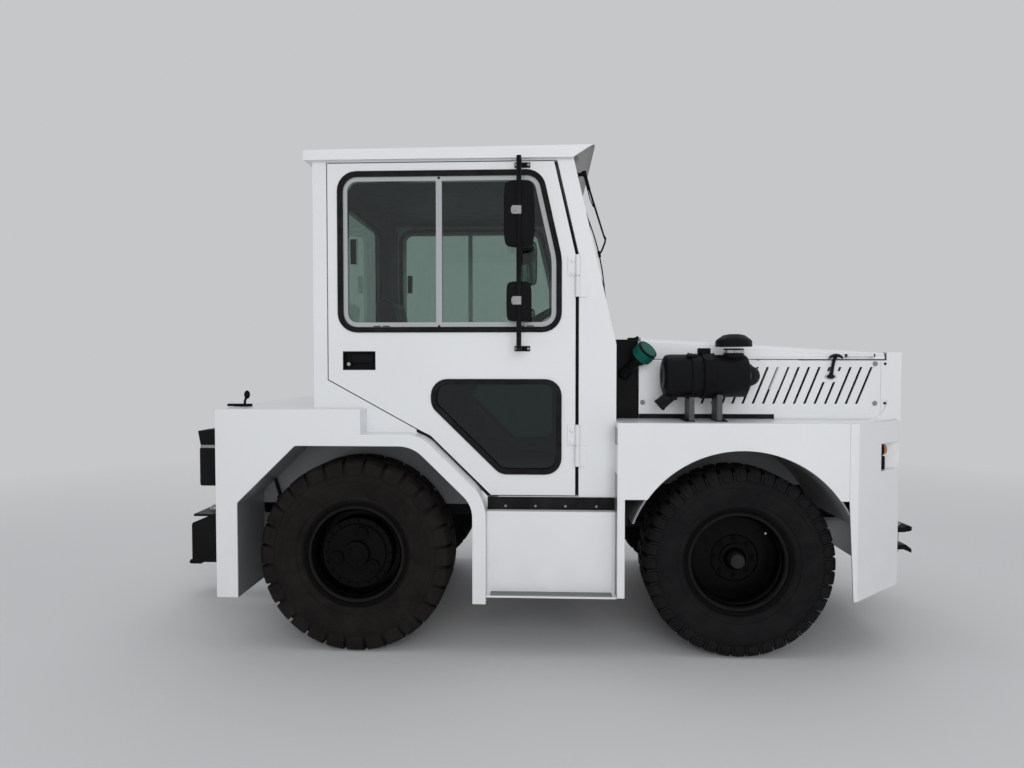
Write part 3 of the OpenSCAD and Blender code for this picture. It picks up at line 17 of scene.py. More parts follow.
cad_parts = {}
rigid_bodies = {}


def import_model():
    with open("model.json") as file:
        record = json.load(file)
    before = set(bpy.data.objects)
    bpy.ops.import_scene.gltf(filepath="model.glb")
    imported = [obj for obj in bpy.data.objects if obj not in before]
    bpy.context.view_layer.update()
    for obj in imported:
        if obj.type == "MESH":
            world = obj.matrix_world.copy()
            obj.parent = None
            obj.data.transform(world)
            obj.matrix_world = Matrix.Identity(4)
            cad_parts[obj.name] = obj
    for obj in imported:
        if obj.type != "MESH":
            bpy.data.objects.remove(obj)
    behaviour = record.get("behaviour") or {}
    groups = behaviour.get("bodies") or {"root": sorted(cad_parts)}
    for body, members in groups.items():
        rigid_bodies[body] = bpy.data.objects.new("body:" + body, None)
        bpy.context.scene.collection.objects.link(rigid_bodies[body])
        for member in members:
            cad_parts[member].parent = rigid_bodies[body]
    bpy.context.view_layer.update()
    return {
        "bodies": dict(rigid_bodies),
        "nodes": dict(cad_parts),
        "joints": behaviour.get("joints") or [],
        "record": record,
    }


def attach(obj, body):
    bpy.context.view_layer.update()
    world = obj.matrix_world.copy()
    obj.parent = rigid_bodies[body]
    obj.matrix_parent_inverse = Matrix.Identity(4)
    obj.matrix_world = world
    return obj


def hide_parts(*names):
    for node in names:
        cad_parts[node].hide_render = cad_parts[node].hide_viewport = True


LOG = logging.getLogger("tug")
Point = Sequence[float]
Outline = Sequence[tuple[float, float]]
Colour = tuple[float, float, float]
Socket = bpy.types.NodeSocket
BACKDROP: Colour = (0.56, 0.57, 0.585)


class Side(Enum):
    """The side of the tug that a piece stands on; all are modelled on the left."""

    LEFT = "left"
    RIGHT = "right"


class Axis(Enum):
    """The axis that an outline is drawn across, or a profile is spun about."""

    X = 0
    Y = 1
    Z = 2

    @property
    def vector(self) -> Vector:
        """The axis as a unit vector."""
        return Vector([1.0 if i == self.value else 0.0 for i in range(3)])

    def point(self, along: float, u: float, v: float) -> Vector:
        """The point at a place along the axis, with u and v on the other two axes in order."""
        rest = iter((u, v))
        return Vector([along if i == self.value else next(rest) for i in range(3)])


# Finishes


def add_node(tree: bpy.types.NodeTree, kind: str, inputs: dict[str | int, object],
             **settings: object) -> bpy.types.Node:
    """Adds a node to a material's or the world's tree.

    Args:
        tree: the tree.
        kind: the node's type.
        inputs: a socket to link or a value to set, by input name or number.
        settings: the node's own settings.

    Returns:
        The new node.
    """
    node = tree.nodes.new(kind)
    for key, value in settings.items():
        setattr(node, key, value)
    for key, value in inputs.items():
        if isinstance(value, Socket):
            tree.links.new(value, node.inputs[key])
        else:
            node.inputs[key].default_value = value
    return node


class Recipe:
    """Builds one node material step by step."""

    def __init__(self, name: str) -> None:
        """Starts a material with its principled shader and the object's own coordinates.

        Args:
            name: the material's name.
        """
        self.material = bpy.data.materials.new(name)
        self.material.use_nodes = True
        self.tree = self.material.node_tree
        self.shader = self.tree.nodes["Principled BSDF"]
        self.place = self.tree.nodes.new("ShaderNodeTexCoord").outputs["Object"]

    def set(self, **values: object) -> None:
        """Sets constants on the shader.

        Args:
            values: a number or a colour by input name, with underscores for its spaces.
        """
        for key, value in values.items():
            socket = self.shader.inputs[key.replace("_", " ")]
            socket.default_value = (*value, 1.0) if isinstance(value, tuple) else value

    def link(self, source: Socket, key: str) -> None:
        """Links a socket to one of the shader's inputs."""
        self.tree.links.new(source, self.shader.inputs[key])

    def node(self, kind: str, inputs: dict[str | int, object], **settings: object) -> bpy.types.Node:
        """Adds a node to the material."""
        return add_node(self.tree, kind, inputs, **settings)

    def noise(self, scale: float, detail: float = 3.0, stretch: Point = (1, 1, 1)) -> Socket:
        """Soft noise of a given number of spots to the metre, stretched along each axis."""
        vector = self.node("ShaderNodeMapping", {"Vector": self.place, "Scale": stretch}).outputs[0]
        return self.node("ShaderNodeTexNoise",
                         {"Vector": vector, "Scale": scale, "Detail": detail}).outputs["Fac"]

    def cells(self, scale: float) -> Socket:
        """Distance to the middle of random cells."""
        return self.node("ShaderNodeTexVoronoi", {"Vector": self.place, "Scale": scale}).outputs["Distance"]

    def bands(self, scale: float, axis: str) -> Socket:
        """Waves across one axis."""
        inputs = {"Vector": self.place, "Scale": scale}
        return self.node("ShaderNodeTexWave", inputs, bands_direction=axis).outputs["Fac"]

    def span(self, value: Socket, low: float, high: float, to_low: float = 0.0,
             to_high: float = 1.0) -> Socket:
        """Maps a range of a value to another range, and holds it there."""
        return self.node("ShaderNodeMapRange", {"Value": value, "From Min": low, "From Max": high,
                                                "To Min": to_low, "To Max": to_high}).outputs[0]

    def calc(self, kind: str, *values: object) -> Socket:
        """One step of arithmetic."""
        return self.node("ShaderNodeMath", dict(enumerate(values)), operation=kind).outputs[0]

    def product(self, *values: object) -> Socket:
        """The product of some values, which for masks is where all of them hold."""
        return reduce(lambda one, two: self.calc("MULTIPLY", one, two), values)

    def below(self, value: Socket, limit: object) -> Socket:
        """A mask of where a value lies under a limit."""
        return self.calc("LESS_THAN", value, limit)

    def above(self, value: Socket, limit: object) -> Socket:
        """A mask of where a value lies over a limit."""
        return self.calc("GREATER_THAN", value, limit)

    def mix(self, factor: object, a: Colour | Socket, b: Colour | Socket) -> Socket:
        """Blends two colours."""
        ends = [(*c, 1.0) if isinstance(c, tuple) else c for c in (a, b)]
        return self.node("ShaderNodeMix", {0: factor, 6: ends[0], 7: ends[1]}, data_type="RGBA").outputs[2]

    def paint(self, factor: object, a: Colour | Socket, b: Colour | Socket) -> None:
        """Blends two colours into the shader's own."""
        self.link(self.mix(factor, a, b), "Base Color")

    def parts(self) -> list[Socket]:
        """The X, Y and Z of the object's coordinates."""
        return list(self.node("ShaderNodeSeparateXYZ", {0: self.place}).outputs)

    def bump(self, height: Socket, depth: float) -> None:
        """Raises the surface by a height, up to a depth in metres."""
        self.link(self.node("ShaderNodeBump", {"Height": height, "Distance": depth}).outputs[0], "Normal")


@dataclass(frozen=True)
class Finish:
    """A finish with a name, the record's slot that it belongs to and a colour."""

    name: str
    slot: str
    colour: Colour
    roughness: float = 0.5

    def material(self) -> bpy.types.Material:
        """Makes the finish's material once.

        Returns:
            The material.
        """
        known = bpy.data.materials.get(self.name)
        if known:
            return known
        recipe = Recipe(self.name)
        self.mix(recipe)
        return recipe.material

    def mix(self, recipe: Recipe) -> None:
        """Fills the recipe; each kind of finish has its own."""
        raise NotImplementedError

    def tone(self, by: float) -> Colour:
        """The colour made lighter or darker by a factor."""
        return tuple(min(1.0, c * by) for c in self.colour)

    def vary(self, recipe: Recipe, value: Socket, low: float, high: float, less: float, more: float) -> None:
        """Lets the roughness follow a value between two limits, from less to more than the finish's own."""
        recipe.link(recipe.span(value, low, high, self.roughness - less, self.roughness + more), "Roughness")


@dataclass(frozen=True)
class GlossPaint(Finish):
    """Sprayed enamel with a faint orange peel, and road dust low down."""

    coat: float = 0.35
    dust: Colour = (0.42, 0.4, 0.37)
    dust_amount: float = 0.2
    dust_z: tuple[float, float] = (0.05, 0.75)
    peel: float = 0.00012

    def shade(self, recipe: Recipe, base: Socket) -> Socket:
        """Lets a kind of paint change its colour by place."""
        return base

    def mix(self, recipe: Recipe) -> None:
        """Cloudy colour, dust that fades upward, and a fine peel.

        Args:
            recipe: the material to fill.
        """
        base = recipe.mix(recipe.span(recipe.noise(1.7, 4.0), 0.3, 0.7), self.tone(0.975), self.tone(1.015))
        low = recipe.span(recipe.parts()[2], *self.dust_z, 1.0, 0.0)
        grime = recipe.product(low, recipe.span(recipe.noise(9.0, 6.0), 0.35, 0.75), self.dust_amount)
        recipe.link(self.shade(recipe, recipe.mix(grime, base, self.dust)), "Base Color")
        rough = recipe.calc("MULTIPLY_ADD", recipe.noise(14.0, 3.0), 0.12, self.roughness - 0.06)
        recipe.link(rough, "Roughness")
        recipe.set(Coat_Weight=self.coat, Coat_Roughness=0.12)
        recipe.bump(recipe.noise(210.0, 2.0), self.peel)


@dataclass(frozen=True)
class CabPaint(GlossPaint):
    """The body's paint outside, and dark trim where a panel faces the cab's inside; low down that inside is
    white paint greyed by painted shade.
    """

    trim: Colour = (0.045, 0.05, 0.05)
    # painted shade: the white paint low inside the cab, greyed for the shade in there
    shaded_inner_white: Colour = (0.33, 0.34, 0.34)
    low_z: tuple[float, float] = (1.24, 1.25)
    inside_y: float = 0.6535
    rear_x: float = -0.9975
    roof_z: float = 2.1335
    screen_top: tuple[float, float] = (0.11, 2.139)
    screen_lean: float = 0.2327
    screen_depth: float = 0.0345

    def shade(self, recipe: Recipe, base: Socket) -> Socket:
        """Masks the side, rear and front inner faces.

        Args:
            recipe: the material to fill.
            base: the paint's colour.

        Returns:
            The colour with the trim and the painted shade in it.
        """
        x, y, z = recipe.parts()
        top_x, top_z = self.screen_top
        screen = recipe.below(recipe.calc("MULTIPLY_ADD", z, self.screen_lean, x),
                              top_x + top_z * self.screen_lean - self.screen_depth)
        inside = recipe.product(recipe.below(recipe.calc("ABSOLUTE", y), self.inside_y),
                                recipe.above(x, self.rear_x), screen, recipe.below(z, self.roof_z))
        return recipe.mix(inside, base, recipe.mix(recipe.span(z, *self.low_z), self.shaded_inner_white, self.trim))


@dataclass(frozen=True)
class RoofPaintVisorShade(GlossPaint):
    """The body's paint, with painted shade in grey beige on the underside where the roof's visor slopes up.
    """

    # painted shade: the visor's underside is darkened for the shade that falls under it
    under: Colour = (0.105, 0.098, 0.088)
    foot: tuple[float, float] = (0.112, 2.1365)
    rise: float = 0.63

    def shade(self, recipe: Recipe, base: Socket) -> Socket:
        """Masks the faces on the visor's lower side.

        Args:
            recipe: the material to fill.
            base: the paint's colour.

        Returns:
            The colour with the underside's painted shade in it.
        """
        x, _, z = recipe.parts()
        foot_x, foot_z = self.foot
        line = recipe.calc("MULTIPLY_ADD", x, self.rise, foot_z - foot_x * self.rise)
        return recipe.mix(recipe.product(recipe.above(x, foot_x), recipe.below(z, line)), base, self.under)


@dataclass(frozen=True)
class FenderPaint(GlossPaint):
    """The body's paint outside, and a darker grey on the inner faces of the side plates."""

    # a darker grey on the faces behind the outer skin
    inner_grey: Colour = (0.19, 0.195, 0.2)
    inside_y: float = 0.7955
    top_z: float = 0.985
    chamfer: tuple[float, float] = (0.906, 1.9549)
    face_x: float = 1.5655
    pocket_y: float = 0.534
    pocket_z: tuple[float, float] = (0.7865, 0.9085)

    def shade(self, recipe: Recipe, base: Socket) -> Socket:
        """Masks what lies behind the side plates, the chamfers and the face, but not the lamp pockets.

        Args:
            recipe: the material to fill.
            base: the paint's colour.

        Returns:
            The colour with the undercoat in it.
        """
        x, y, z = recipe.parts()
        reach = recipe.calc("ABSOLUTE", y)
        slope, limit = self.chamfer
        chamfer = recipe.below(recipe.calc("MULTIPLY_ADD", x, slope, reach), limit)
        behind = recipe.product(recipe.below(reach, self.inside_y), chamfer, recipe.below(x, self.face_x),
                                recipe.below(z, self.top_z))
        floor, ceiling = self.pocket_z
        pocket = recipe.product(recipe.above(z, floor), recipe.below(z, ceiling),
                                recipe.above(reach, self.pocket_y))
        return recipe.mix(recipe.product(behind, recipe.calc("SUBTRACT", 1.0, pocket)), base, self.inner_grey)


@dataclass(frozen=True)
class WellPaint(GlossPaint):
    """White on the ledge and a dull grey inside the rear wheel arch."""

    # a darker grey inside the arch, under the ledge's line
    inner_grey: Colour = (0.155, 0.16, 0.165)
    top_z: float = 0.928
    front_x: float = -0.29
    slope: tuple[float, float, float] = (0.699, 0.715, 0.2728)

    def shade(self, recipe: Recipe, base: Socket) -> Socket:
        """Masks the faces under the arch's line.

        Args:
            recipe: the material to fill.
            base: the paint's colour.

        Returns:
            The colour with the inner grey in it.
        """
        x, _, z = recipe.parts()
        by_x, by_z, limit = self.slope
        line = recipe.calc("MULTIPLY_ADD", z, by_z, recipe.product(x, by_x))
        inside = recipe.product(recipe.below(z, self.top_z), recipe.below(line, limit),
                                recipe.below(x, self.front_x))
        return recipe.mix(inside, base, self.inner_grey)


@dataclass(frozen=True)
class SatinPaint(Finish):
    """Dark satin paint with dust in patches and small chips."""

    dust: Colour = (0.16, 0.15, 0.14)
    dust_amount: float = 0.12
    metallic: float = 0.0
    specular: float = 0.28

    def mix(self, recipe: Recipe) -> None:
        """Dust in clouds and a slightly uneven film.

        Args:
            recipe: the material to fill.
        """
        cloud = recipe.span(recipe.noise(6.0, 6.0), 0.42, 0.8, 0.0, self.dust_amount)
        speck = recipe.span(recipe.noise(260.0, 2.0), 0.66, 0.74, 0.0, self.dust_amount * 0.8)
        recipe.paint(recipe.calc("ADD", cloud, speck), self.colour, self.dust)
        self.vary(recipe, recipe.noise(22.0, 4.0), 0.3, 0.75, 0.08, 0.12)
        recipe.set(Metallic=self.metallic, Specular_IOR_Level=self.specular)
        recipe.bump(recipe.noise(320.0, 3.0), 0.0002)


@dataclass(frozen=True)
class TyreRubber(Finish):
    """Tyre rubber, greyer with dust where the noise gathers."""

    dust: Colour = (0.1, 0.09, 0.08)
    dust_amount: float = 0.35

    def mix(self, recipe: Recipe) -> None:
        """Dust patches over a rubber grain.

        Args:
            recipe: the material to fill.
        """
        cloud = recipe.span(recipe.noise(11.0, 7.0), 0.38, 0.78, 0.04, self.dust_amount)
        streak = recipe.span(recipe.noise(60.0, 4.0), 0.45, 0.8, 0.0, self.dust_amount * 0.5)
        recipe.paint(recipe.calc("ADD", cloud, streak), self.colour, self.dust)
        self.vary(recipe, recipe.noise(30.0, 4.0), 0.3, 0.7, 0.1, 0.1)
        recipe.set(Specular_IOR_Level=0.16)
        recipe.bump(recipe.calc("ADD", recipe.noise(420.0, 3.0), recipe.noise(70.0, 5.0)), 0.0005)


@dataclass(frozen=True)
class SoftRubber(Finish):
    """Seals and hoses: matt, with a faint bloom."""

    bloom: Colour = (0.05, 0.05, 0.052)

    def mix(self, recipe: Recipe) -> None:
        """A cloudy bloom over a fine grain.

        Args:
            recipe: the material to fill.
        """
        recipe.paint(recipe.span(recipe.noise(13.0, 5.0), 0.4, 0.85, 0.0, 0.3), self.colour, self.bloom)
        self.vary(recipe, recipe.noise(45.0, 2.0), 0.3, 0.7, 0.07, 0.07)
        recipe.set(Specular_IOR_Level=0.22)
        recipe.bump(recipe.noise(700.0, 2.0), 0.00015)


@dataclass(frozen=True)
class MouldedPlastic(Finish):
    """Textured plastic with a leather-like grain."""

    grain: float = 520.0
    grain_depth: float = 0.0003

    def mix(self, recipe: Recipe) -> None:
        """Cell grain and slight fading.

        Args:
            recipe: the material to fill.
        """
        recipe.paint(recipe.noise(5.0, 3.0), self.tone(0.85), self.tone(1.25))
        self.vary(recipe, recipe.noise(18.0, 3.0), 0.3, 0.7, 0.06, 0.08)
        recipe.set(Specular_IOR_Level=0.15)
        recipe.bump(recipe.cells(self.grain), self.grain_depth)


@dataclass(frozen=True)
class BareMetal(Finish):
    """Anodised or plated metal, drawn along one axis."""

    stretch: tuple[float, float, float] = (4.0, 60.0, 60.0)

    def mix(self, recipe: Recipe) -> None:
        """Drawn streaks in the colour and the gloss.

        Args:
            recipe: the material to fill.
        """
        streak = recipe.noise(9.0, 4.0, self.stretch)
        recipe.paint(streak, self.tone(0.86), self.tone(1.08))
        self.vary(recipe, streak, 0.3, 0.7, 0.08, 0.1)
        recipe.set(Metallic=1.0)
        recipe.bump(streak, 0.00005)


@dataclass(frozen=True)
class WindowGlass(Finish):
    """Tinted safety glass with faint wiping marks, and painted shade: a darker tint in the low door windows
    for the dark seen through them.
    """

    low_pane_shade: Colour = (0.055, 0.115, 0.108)
    low_z: tuple[float, float] = (1.235, 1.255)

    def mix(self, recipe: Recipe) -> None:
        """Clear tinted glass whose gloss is broken by smears.

        Args:
            recipe: the material to fill.
        """
        # painted shade: below low_z the panes take a darker tint for the dark seen through them
        recipe.paint(recipe.span(recipe.parts()[2], *self.low_z), self.low_pane_shade, self.colour)
        recipe.set(Transmission_Weight=1.0, IOR=1.45)
        self.vary(recipe, recipe.noise(3.5, 6.0, (1, 1, 0.4)), 0.45, 0.8, 0.0, 0.05)


@dataclass(frozen=True)
class LampLens(Finish):
    """A coloured lens with fine prisms."""

    prisms: float = 45.0

    def mix(self, recipe: Recipe) -> None:
        """Prism ribs over a clear coloured body.

        Args:
            recipe: the material to fill.
        """
        recipe.paint(recipe.noise(40.0, 2.0), self.tone(0.8), self.tone(1.1))
        recipe.set(Roughness=self.roughness, Coat_Weight=0.6, Coat_Roughness=0.05)
        recipe.bump(recipe.bands(self.prisms, "Y"), 0.0006)


@dataclass(frozen=True)
class SeatCloth(Finish):
    """A woven cover: warp and weft from two sets of bands."""

    threads: float = 260.0

    def mix(self, recipe: Recipe) -> None:
        """Crossed bands for the weave, and a soft sheen.

        Args:
            recipe: the material to fill.
        """
        weave = recipe.product(*(recipe.bands(self.threads / 6.28, axis) for axis in ("Y", "Z")))
        fleck = recipe.span(recipe.noise(180.0, 2.0), 0.4, 0.7)
        recipe.paint(recipe.product(weave, fleck), self.tone(0.7), self.tone(1.7))
        recipe.set(Roughness=self.roughness, Sheen_Weight=0.35, Sheen_Roughness=0.5)
        recipe.bump(weave, 0.0006)


@dataclass(frozen=True)
class FloorPaint(Finish):
    """The pale studio floor: it keeps the shadow near the tug and fades to the backdrop far away."""

    near: float = 3.3
    far: float = 7.0

    def mix(self, recipe: Recipe) -> None:
        """A matt floor near the tug that turns into the backdrop's own light.

        Args:
            recipe: the material to fill.
        """
        x, y, _ = recipe.parts()
        reach = recipe.calc("SQRT", recipe.calc("ADD", recipe.product(x, x), recipe.product(y, y)))
        recipe.set(Base_Color=self.colour, Roughness=self.roughness, Specular_IOR_Level=0.2)
        glow = recipe.node("ShaderNodeEmission", {"Color": (*BACKDROP, 1.0), "Strength": 1.0})
        blend = recipe.node("ShaderNodeMixShader", {0: recipe.span(reach, self.near, self.far),
                                                    1: recipe.shader.outputs[0], 2: glow.outputs[0]})
        out = next(n for n in recipe.tree.nodes if n.type == "OUTPUT_MATERIAL")
        recipe.tree.links.new(blend.outputs[0], out.inputs["Surface"])


ENAMEL = ("body_paint", (0.8, 0.81, 0.825), 0.34)
WHITE = GlossPaint("white_enamel", *ENAMEL)
WHITE_CAB = CabPaint("white_enamel_cab", *ENAMEL)
WHITE_WELL = WellPaint("white_enamel_ledge", *ENAMEL)
WHITE_ROOF = RoofPaintVisorShade("white_enamel_roof_visor_shade", *ENAMEL)
WHITE_FENDER = FenderPaint("white_enamel_fender", *ENAMEL)
# a plain darker grey for the front wheel wells
INNER_GREY = SatinPaint("inner_grey_satin", "body_paint", (0.25, 0.255, 0.26), 0.6, (0.12, 0.115, 0.11), 0.3)
BLACK = SatinPaint("black_satin", "black_paint", (0.0034, 0.0037, 0.004), 0.4, (0.11, 0.105, 0.1), 0.06,
                   specular=0.12)
RIM_BLACK = SatinPaint("rim_black", "black_paint", (0.0012, 0.0014, 0.0015), 0.32, (0.035, 0.035, 0.035),
                       0.04, specular=0.09)
CHASSIS = SatinPaint("chassis_black", "chassis_paint", (0.009, 0.009, 0.0095), 0.62, (0.09, 0.083, 0.078),
                     0.3)
CAST = SatinPaint("cast_iron", "cast", (0.03, 0.032, 0.034), 0.6, (0.09, 0.083, 0.078), 0.3, metallic=0.4)
DARK_ZINC = SatinPaint("dark_zinc", "steel", (0.085, 0.088, 0.091), 0.48, (0.15, 0.15, 0.15), 0.2)
TYRE_FRONT = TyreRubber("tyre_charcoal", "tyre", (0.0052, 0.0055, 0.006), 0.74, (0.03, 0.029, 0.028), 0.22)
TYRE_REAR = TyreRubber("tyre_brown_black", "tyre", (0.0066, 0.0057, 0.0052), 0.76, (0.04, 0.035, 0.031),
                       0.28)
SEAL = SoftRubber("seal_rubber", "rubber", (0.003, 0.003, 0.0034), 0.5)
HOSE = SoftRubber("hose_rubber", "rubber", (0.004, 0.004, 0.0044), 0.58)
PLASTIC = MouldedPlastic("black_plastic", "plastic", (0.004, 0.004, 0.0045), 0.42)
CLEANER = MouldedPlastic("cleaner_plastic", "plastic", (0.0036, 0.0039, 0.0047), 0.44, 300.0, 0.0002)
TRIM = MouldedPlastic("cab_trim", "trim", (0.045, 0.05, 0.05), 0.6)
TEAL = MouldedPlastic("teal_plastic", "plastic", (0.004, 0.085, 0.066), 0.35, 300.0, 0.0001)
ALLOY = BareMetal("satin_alloy", "alloy", (0.68, 0.69, 0.7), 0.34)
STEEL = BareMetal("plated_steel", "steel", (0.55, 0.55, 0.54), 0.36, (20.0, 20.0, 20.0))
GREY_METAL = BareMetal("zinc_grey", "steel", (0.42, 0.43, 0.44), 0.45, (30.0, 30.0, 30.0))
MIRROR_GLASS = BareMetal("mirror_glass", "alloy", (0.86, 0.88, 0.88), 0.1, (1.0, 1.0, 1.0))
GLASS = WindowGlass("green_glass", "glass", (0.46, 0.56, 0.515), 0.0)
LAMP_GLASS = LampLens("headlamp_glass", "lamp_glass", (0.62, 0.64, 0.66), 0.12)
AMBER = LampLens("amber_lens", "lamp_amber", (0.42, 0.13, 0.03), 0.15)
RED_LENS = LampLens("red_lens", "lamp_amber", (0.4, 0.01, 0.01), 0.15)
CLOTH = SeatCloth("seat_cloth", "fabric", (0.028, 0.03, 0.034), 0.85)
FLOOR = FloorPaint("studio_floor", "", (0.66, 0.665, 0.67), 0.7)


# Meshes


def rounded(points: Outline, radii: Sequence[float], steps: int = 8) -> list[tuple[float, float]]:
    """Rounds the inner corners of an open path.

    Args:
        points: the path's corners.
        radii: a radius for each corner; 0 keeps it sharp.
        steps: segments of each arc.

    Returns:
        The path with arcs in place of its corners.
    """
    path = []
    for i, (point, radius) in enumerate(zip(points, radii)):
        here = Vector(point)
        if radius <= 0:
            path.append(tuple(here))
            continue
        back, ahead = (Vector(points[i - 1]) - here).normalized(), (Vector(points[i + 1]) - here).normalized()
        half = back.angle(ahead) / 2
        middle = here + (back + ahead).normalized() * radius / math.sin(half)
        start, end = (here + way * radius / math.tan(half) - middle for way in (back, ahead))
        turn = start.angle_signed(end)
        path += [tuple(middle + Matrix.Rotation(-turn * k / steps, 2) @ start) for k in range(steps + 1)]
    return path


def placed(at: Point, degrees: float = 0.0, axis: str = "Y") -> Matrix:
    """A turn about an axis and then a move to a place."""
    return Matrix.Translation(at) @ Matrix.Rotation(math.radians(degrees), 4, axis)


class Form:
    """A mesh in the making, in metres and on the tug's own axes; each method gives back the form itself."""

    sharp_angle = 32.0

    def __init__(self) -> None:
        """Starts an empty mesh."""
        self.bm = bmesh.new()

    def bevel(self, edges: Iterable[bmesh.types.BMEdge], width: float, angle: float, steps: int) -> None:
        """Rounds those of some edges that turn by more than an angle.

        Args:
            edges: the edges.
            width: how far each sharp edge is rounded.
            angle: the angle in degrees over which an edge is sharp.
            steps: the rounding's segments.
        """
        sharp = [e for e in edges if e.is_manifold and e.calc_face_angle(0.0) > math.radians(angle)]
        bmesh.ops.bevel(self.bm, geom=sharp, offset=width, offset_type="OFFSET", segments=steps, profile=0.5,
                        affect="EDGES", clamp_overlap=True, material=-1)

    def _close(self, verts: list[bmesh.types.BMVert], place: Matrix | None = None, ease: float = 0.0,
               steps: int = 1) -> Form:
        """Places a fresh closed shape, turns its faces outwards and rounds its sharp edges.

        Args:
            verts: the shape's vertices.
            place: where the shape goes, or None.
            ease: the width of the rounding, or 0.
            steps: the rounding's segments.

        Returns:
            The form itself.
        """
        if place is not None:
            bmesh.ops.transform(self.bm, matrix=place, verts=verts)
        faces = list({f for v in verts if v.is_valid for f in v.link_faces})
        bmesh.ops.recalc_face_normals(self.bm, faces=faces)
        if ease > 0:
            self.bevel({e for f in faces for e in f.edges}, ease, self.sharp_angle, steps)
        return self

    def _drawn(self, faces: list[bmesh.types.BMFace], way: Vector) -> list[bmesh.types.BMVert]:
        """Draws faces out along a way.

        Args:
            faces: the flat faces.
            way: the way, with its length.

        Returns:
            The vertices at the far end.
        """
        geom = bmesh.ops.extrude_face_region(self.bm, geom=faces)["geom"]
        moved = [v for v in geom if isinstance(v, bmesh.types.BMVert)]
        bmesh.ops.translate(self.bm, vec=way, verts=moved)
        return moved

    def box(self, low: Point, high: Point, ease: float = 0.0, place: Matrix | None = None,
            steps: int = 2) -> Form:
        """A block.

        Args:
            low: its lowest corner.
            high: its highest corner.
            ease: the rounding of its edges, or 0.
            place: where it goes, or None.
            steps: the rounding's segments.

        Returns:
            The form itself.
        """
        size = Vector(high) - Vector(low)
        verts = bmesh.ops.create_cube(self.bm, size=1.0)["verts"]
        bmesh.ops.scale(self.bm, vec=size, verts=verts)
        bmesh.ops.translate(self.bm, vec=Vector(low) + size / 2, verts=verts)
        return self._close(verts, place, ease, steps)

    def rod(self, start: Point, end: Point, radius: float, sides: int = 32, ease: float = 0.0) -> Form:
        """A round or many-sided bar.

        Args:
            start: the middle of its first end.
            end: the middle of its last end.
            radius: its radius.
            sides: how many sides it has.
            ease: the rounding of its edges, or 0.

        Returns:
            The form itself.
        """
        a, b = Vector(start), Vector(end)
        verts = bmesh.ops.create_cone(self.bm, cap_ends=True, segments=sides, radius1=radius, radius2=radius,
                                      depth=(b - a).length)["verts"]
        turn = Matrix.Translation((a + b) / 2) @ (b - a).to_track_quat("Z", "Y").to_matrix().to_4x4()
        return self._close(verts, turn, ease, 2)

    def bolt(self, foot: Point, height: float, radius: float, sides: int = 6, ease: float = 0.0) -> Form:
        """A bolt's head or a pin that stands out along Y."""
        return self.rod(foot, (foot[0], foot[1] + height, foot[2]), radius, sides, ease)

    def prism(self, outline: Outline, near: float, far: float, axis: Axis = Axis.Y,
              ease: float = 0.0) -> Form:
        """An outline drawn out along an axis.

        Args:
            outline: the outline's corners on the other two axes.
            near: where it starts along the axis.
            far: where it ends.
            axis: the axis.
            ease: the rounding of its edges, or 0.

        Returns:
            The form itself.
        """
        verts = [self.bm.verts.new(axis.point(near, u, v)) for u, v in outline]
        moved = self._drawn([self.bm.faces.new(verts)], axis.vector * (far - near))
        return self._close(verts + moved, None, ease, 2)

    def band(self, outline: Outline, width: float, near: float, far: float, ease: float = 0.0) -> Form:
        """A closed band inside an outline across Y.

        Args:
            outline: the outline's corners as X and Z.
            width: the band's width.
            near: where it starts along Y.
            far: where it ends.
            ease: the rounding of its edges, or 0.

        Returns:
            The form itself.
        """
        face = self.bm.faces.new([self.bm.verts.new(Axis.Y.point(near, u, v)) for u, v in outline])
        face.normal_update()
        rim = bmesh.ops.inset_region(self.bm, faces=[face], thickness=width, use_boundary=True,
                                     use_even_offset=True)["faces"]
        bmesh.ops.delete(self.bm, geom=[face], context="FACES")
        moved = self._drawn(rim, Axis.Y.vector * (far - near))
        return self._close(list({v for f in rim if f.is_valid for v in f.verts} | set(moved)), None, ease, 2)

    def lathe(self, profile: Outline, centre: Point = (0, 0, 0), axis: Axis = Axis.Y, steps: int = 72,
              closed: bool = True) -> Form:
        """A profile spun round an axis.

        Args:
            profile: points of radius and distance along the axis.
            centre: where the axis passes.
            axis: the axis.
            steps: segments of the round.
            closed: whether the profile's end joins its start; otherwise both lie on the axis.

        Returns:
            The form itself.
        """
        mid = Vector(centre)
        side = Axis.Z.vector if axis is not Axis.Z else Axis.X.vector
        known = set(self.bm.verts)
        verts = [self.bm.verts.new(mid + side * r + axis.vector * a) for r, a in profile]
        pairs = list(zip(verts, verts[1:])) + ([(verts[-1], verts[0])] if closed else [])
        edges = [self.bm.edges.new(pair) for pair in pairs]
        bmesh.ops.spin(self.bm, geom=verts + edges, cent=mid, axis=axis.vector, angle=math.tau, steps=steps,
                       use_merge=True)
        bmesh.ops.remove_doubles(self.bm, verts=[v for v in self.bm.verts if v not in known], dist=1e-6)
        return self._close([v for v in self.bm.verts if v not in known])

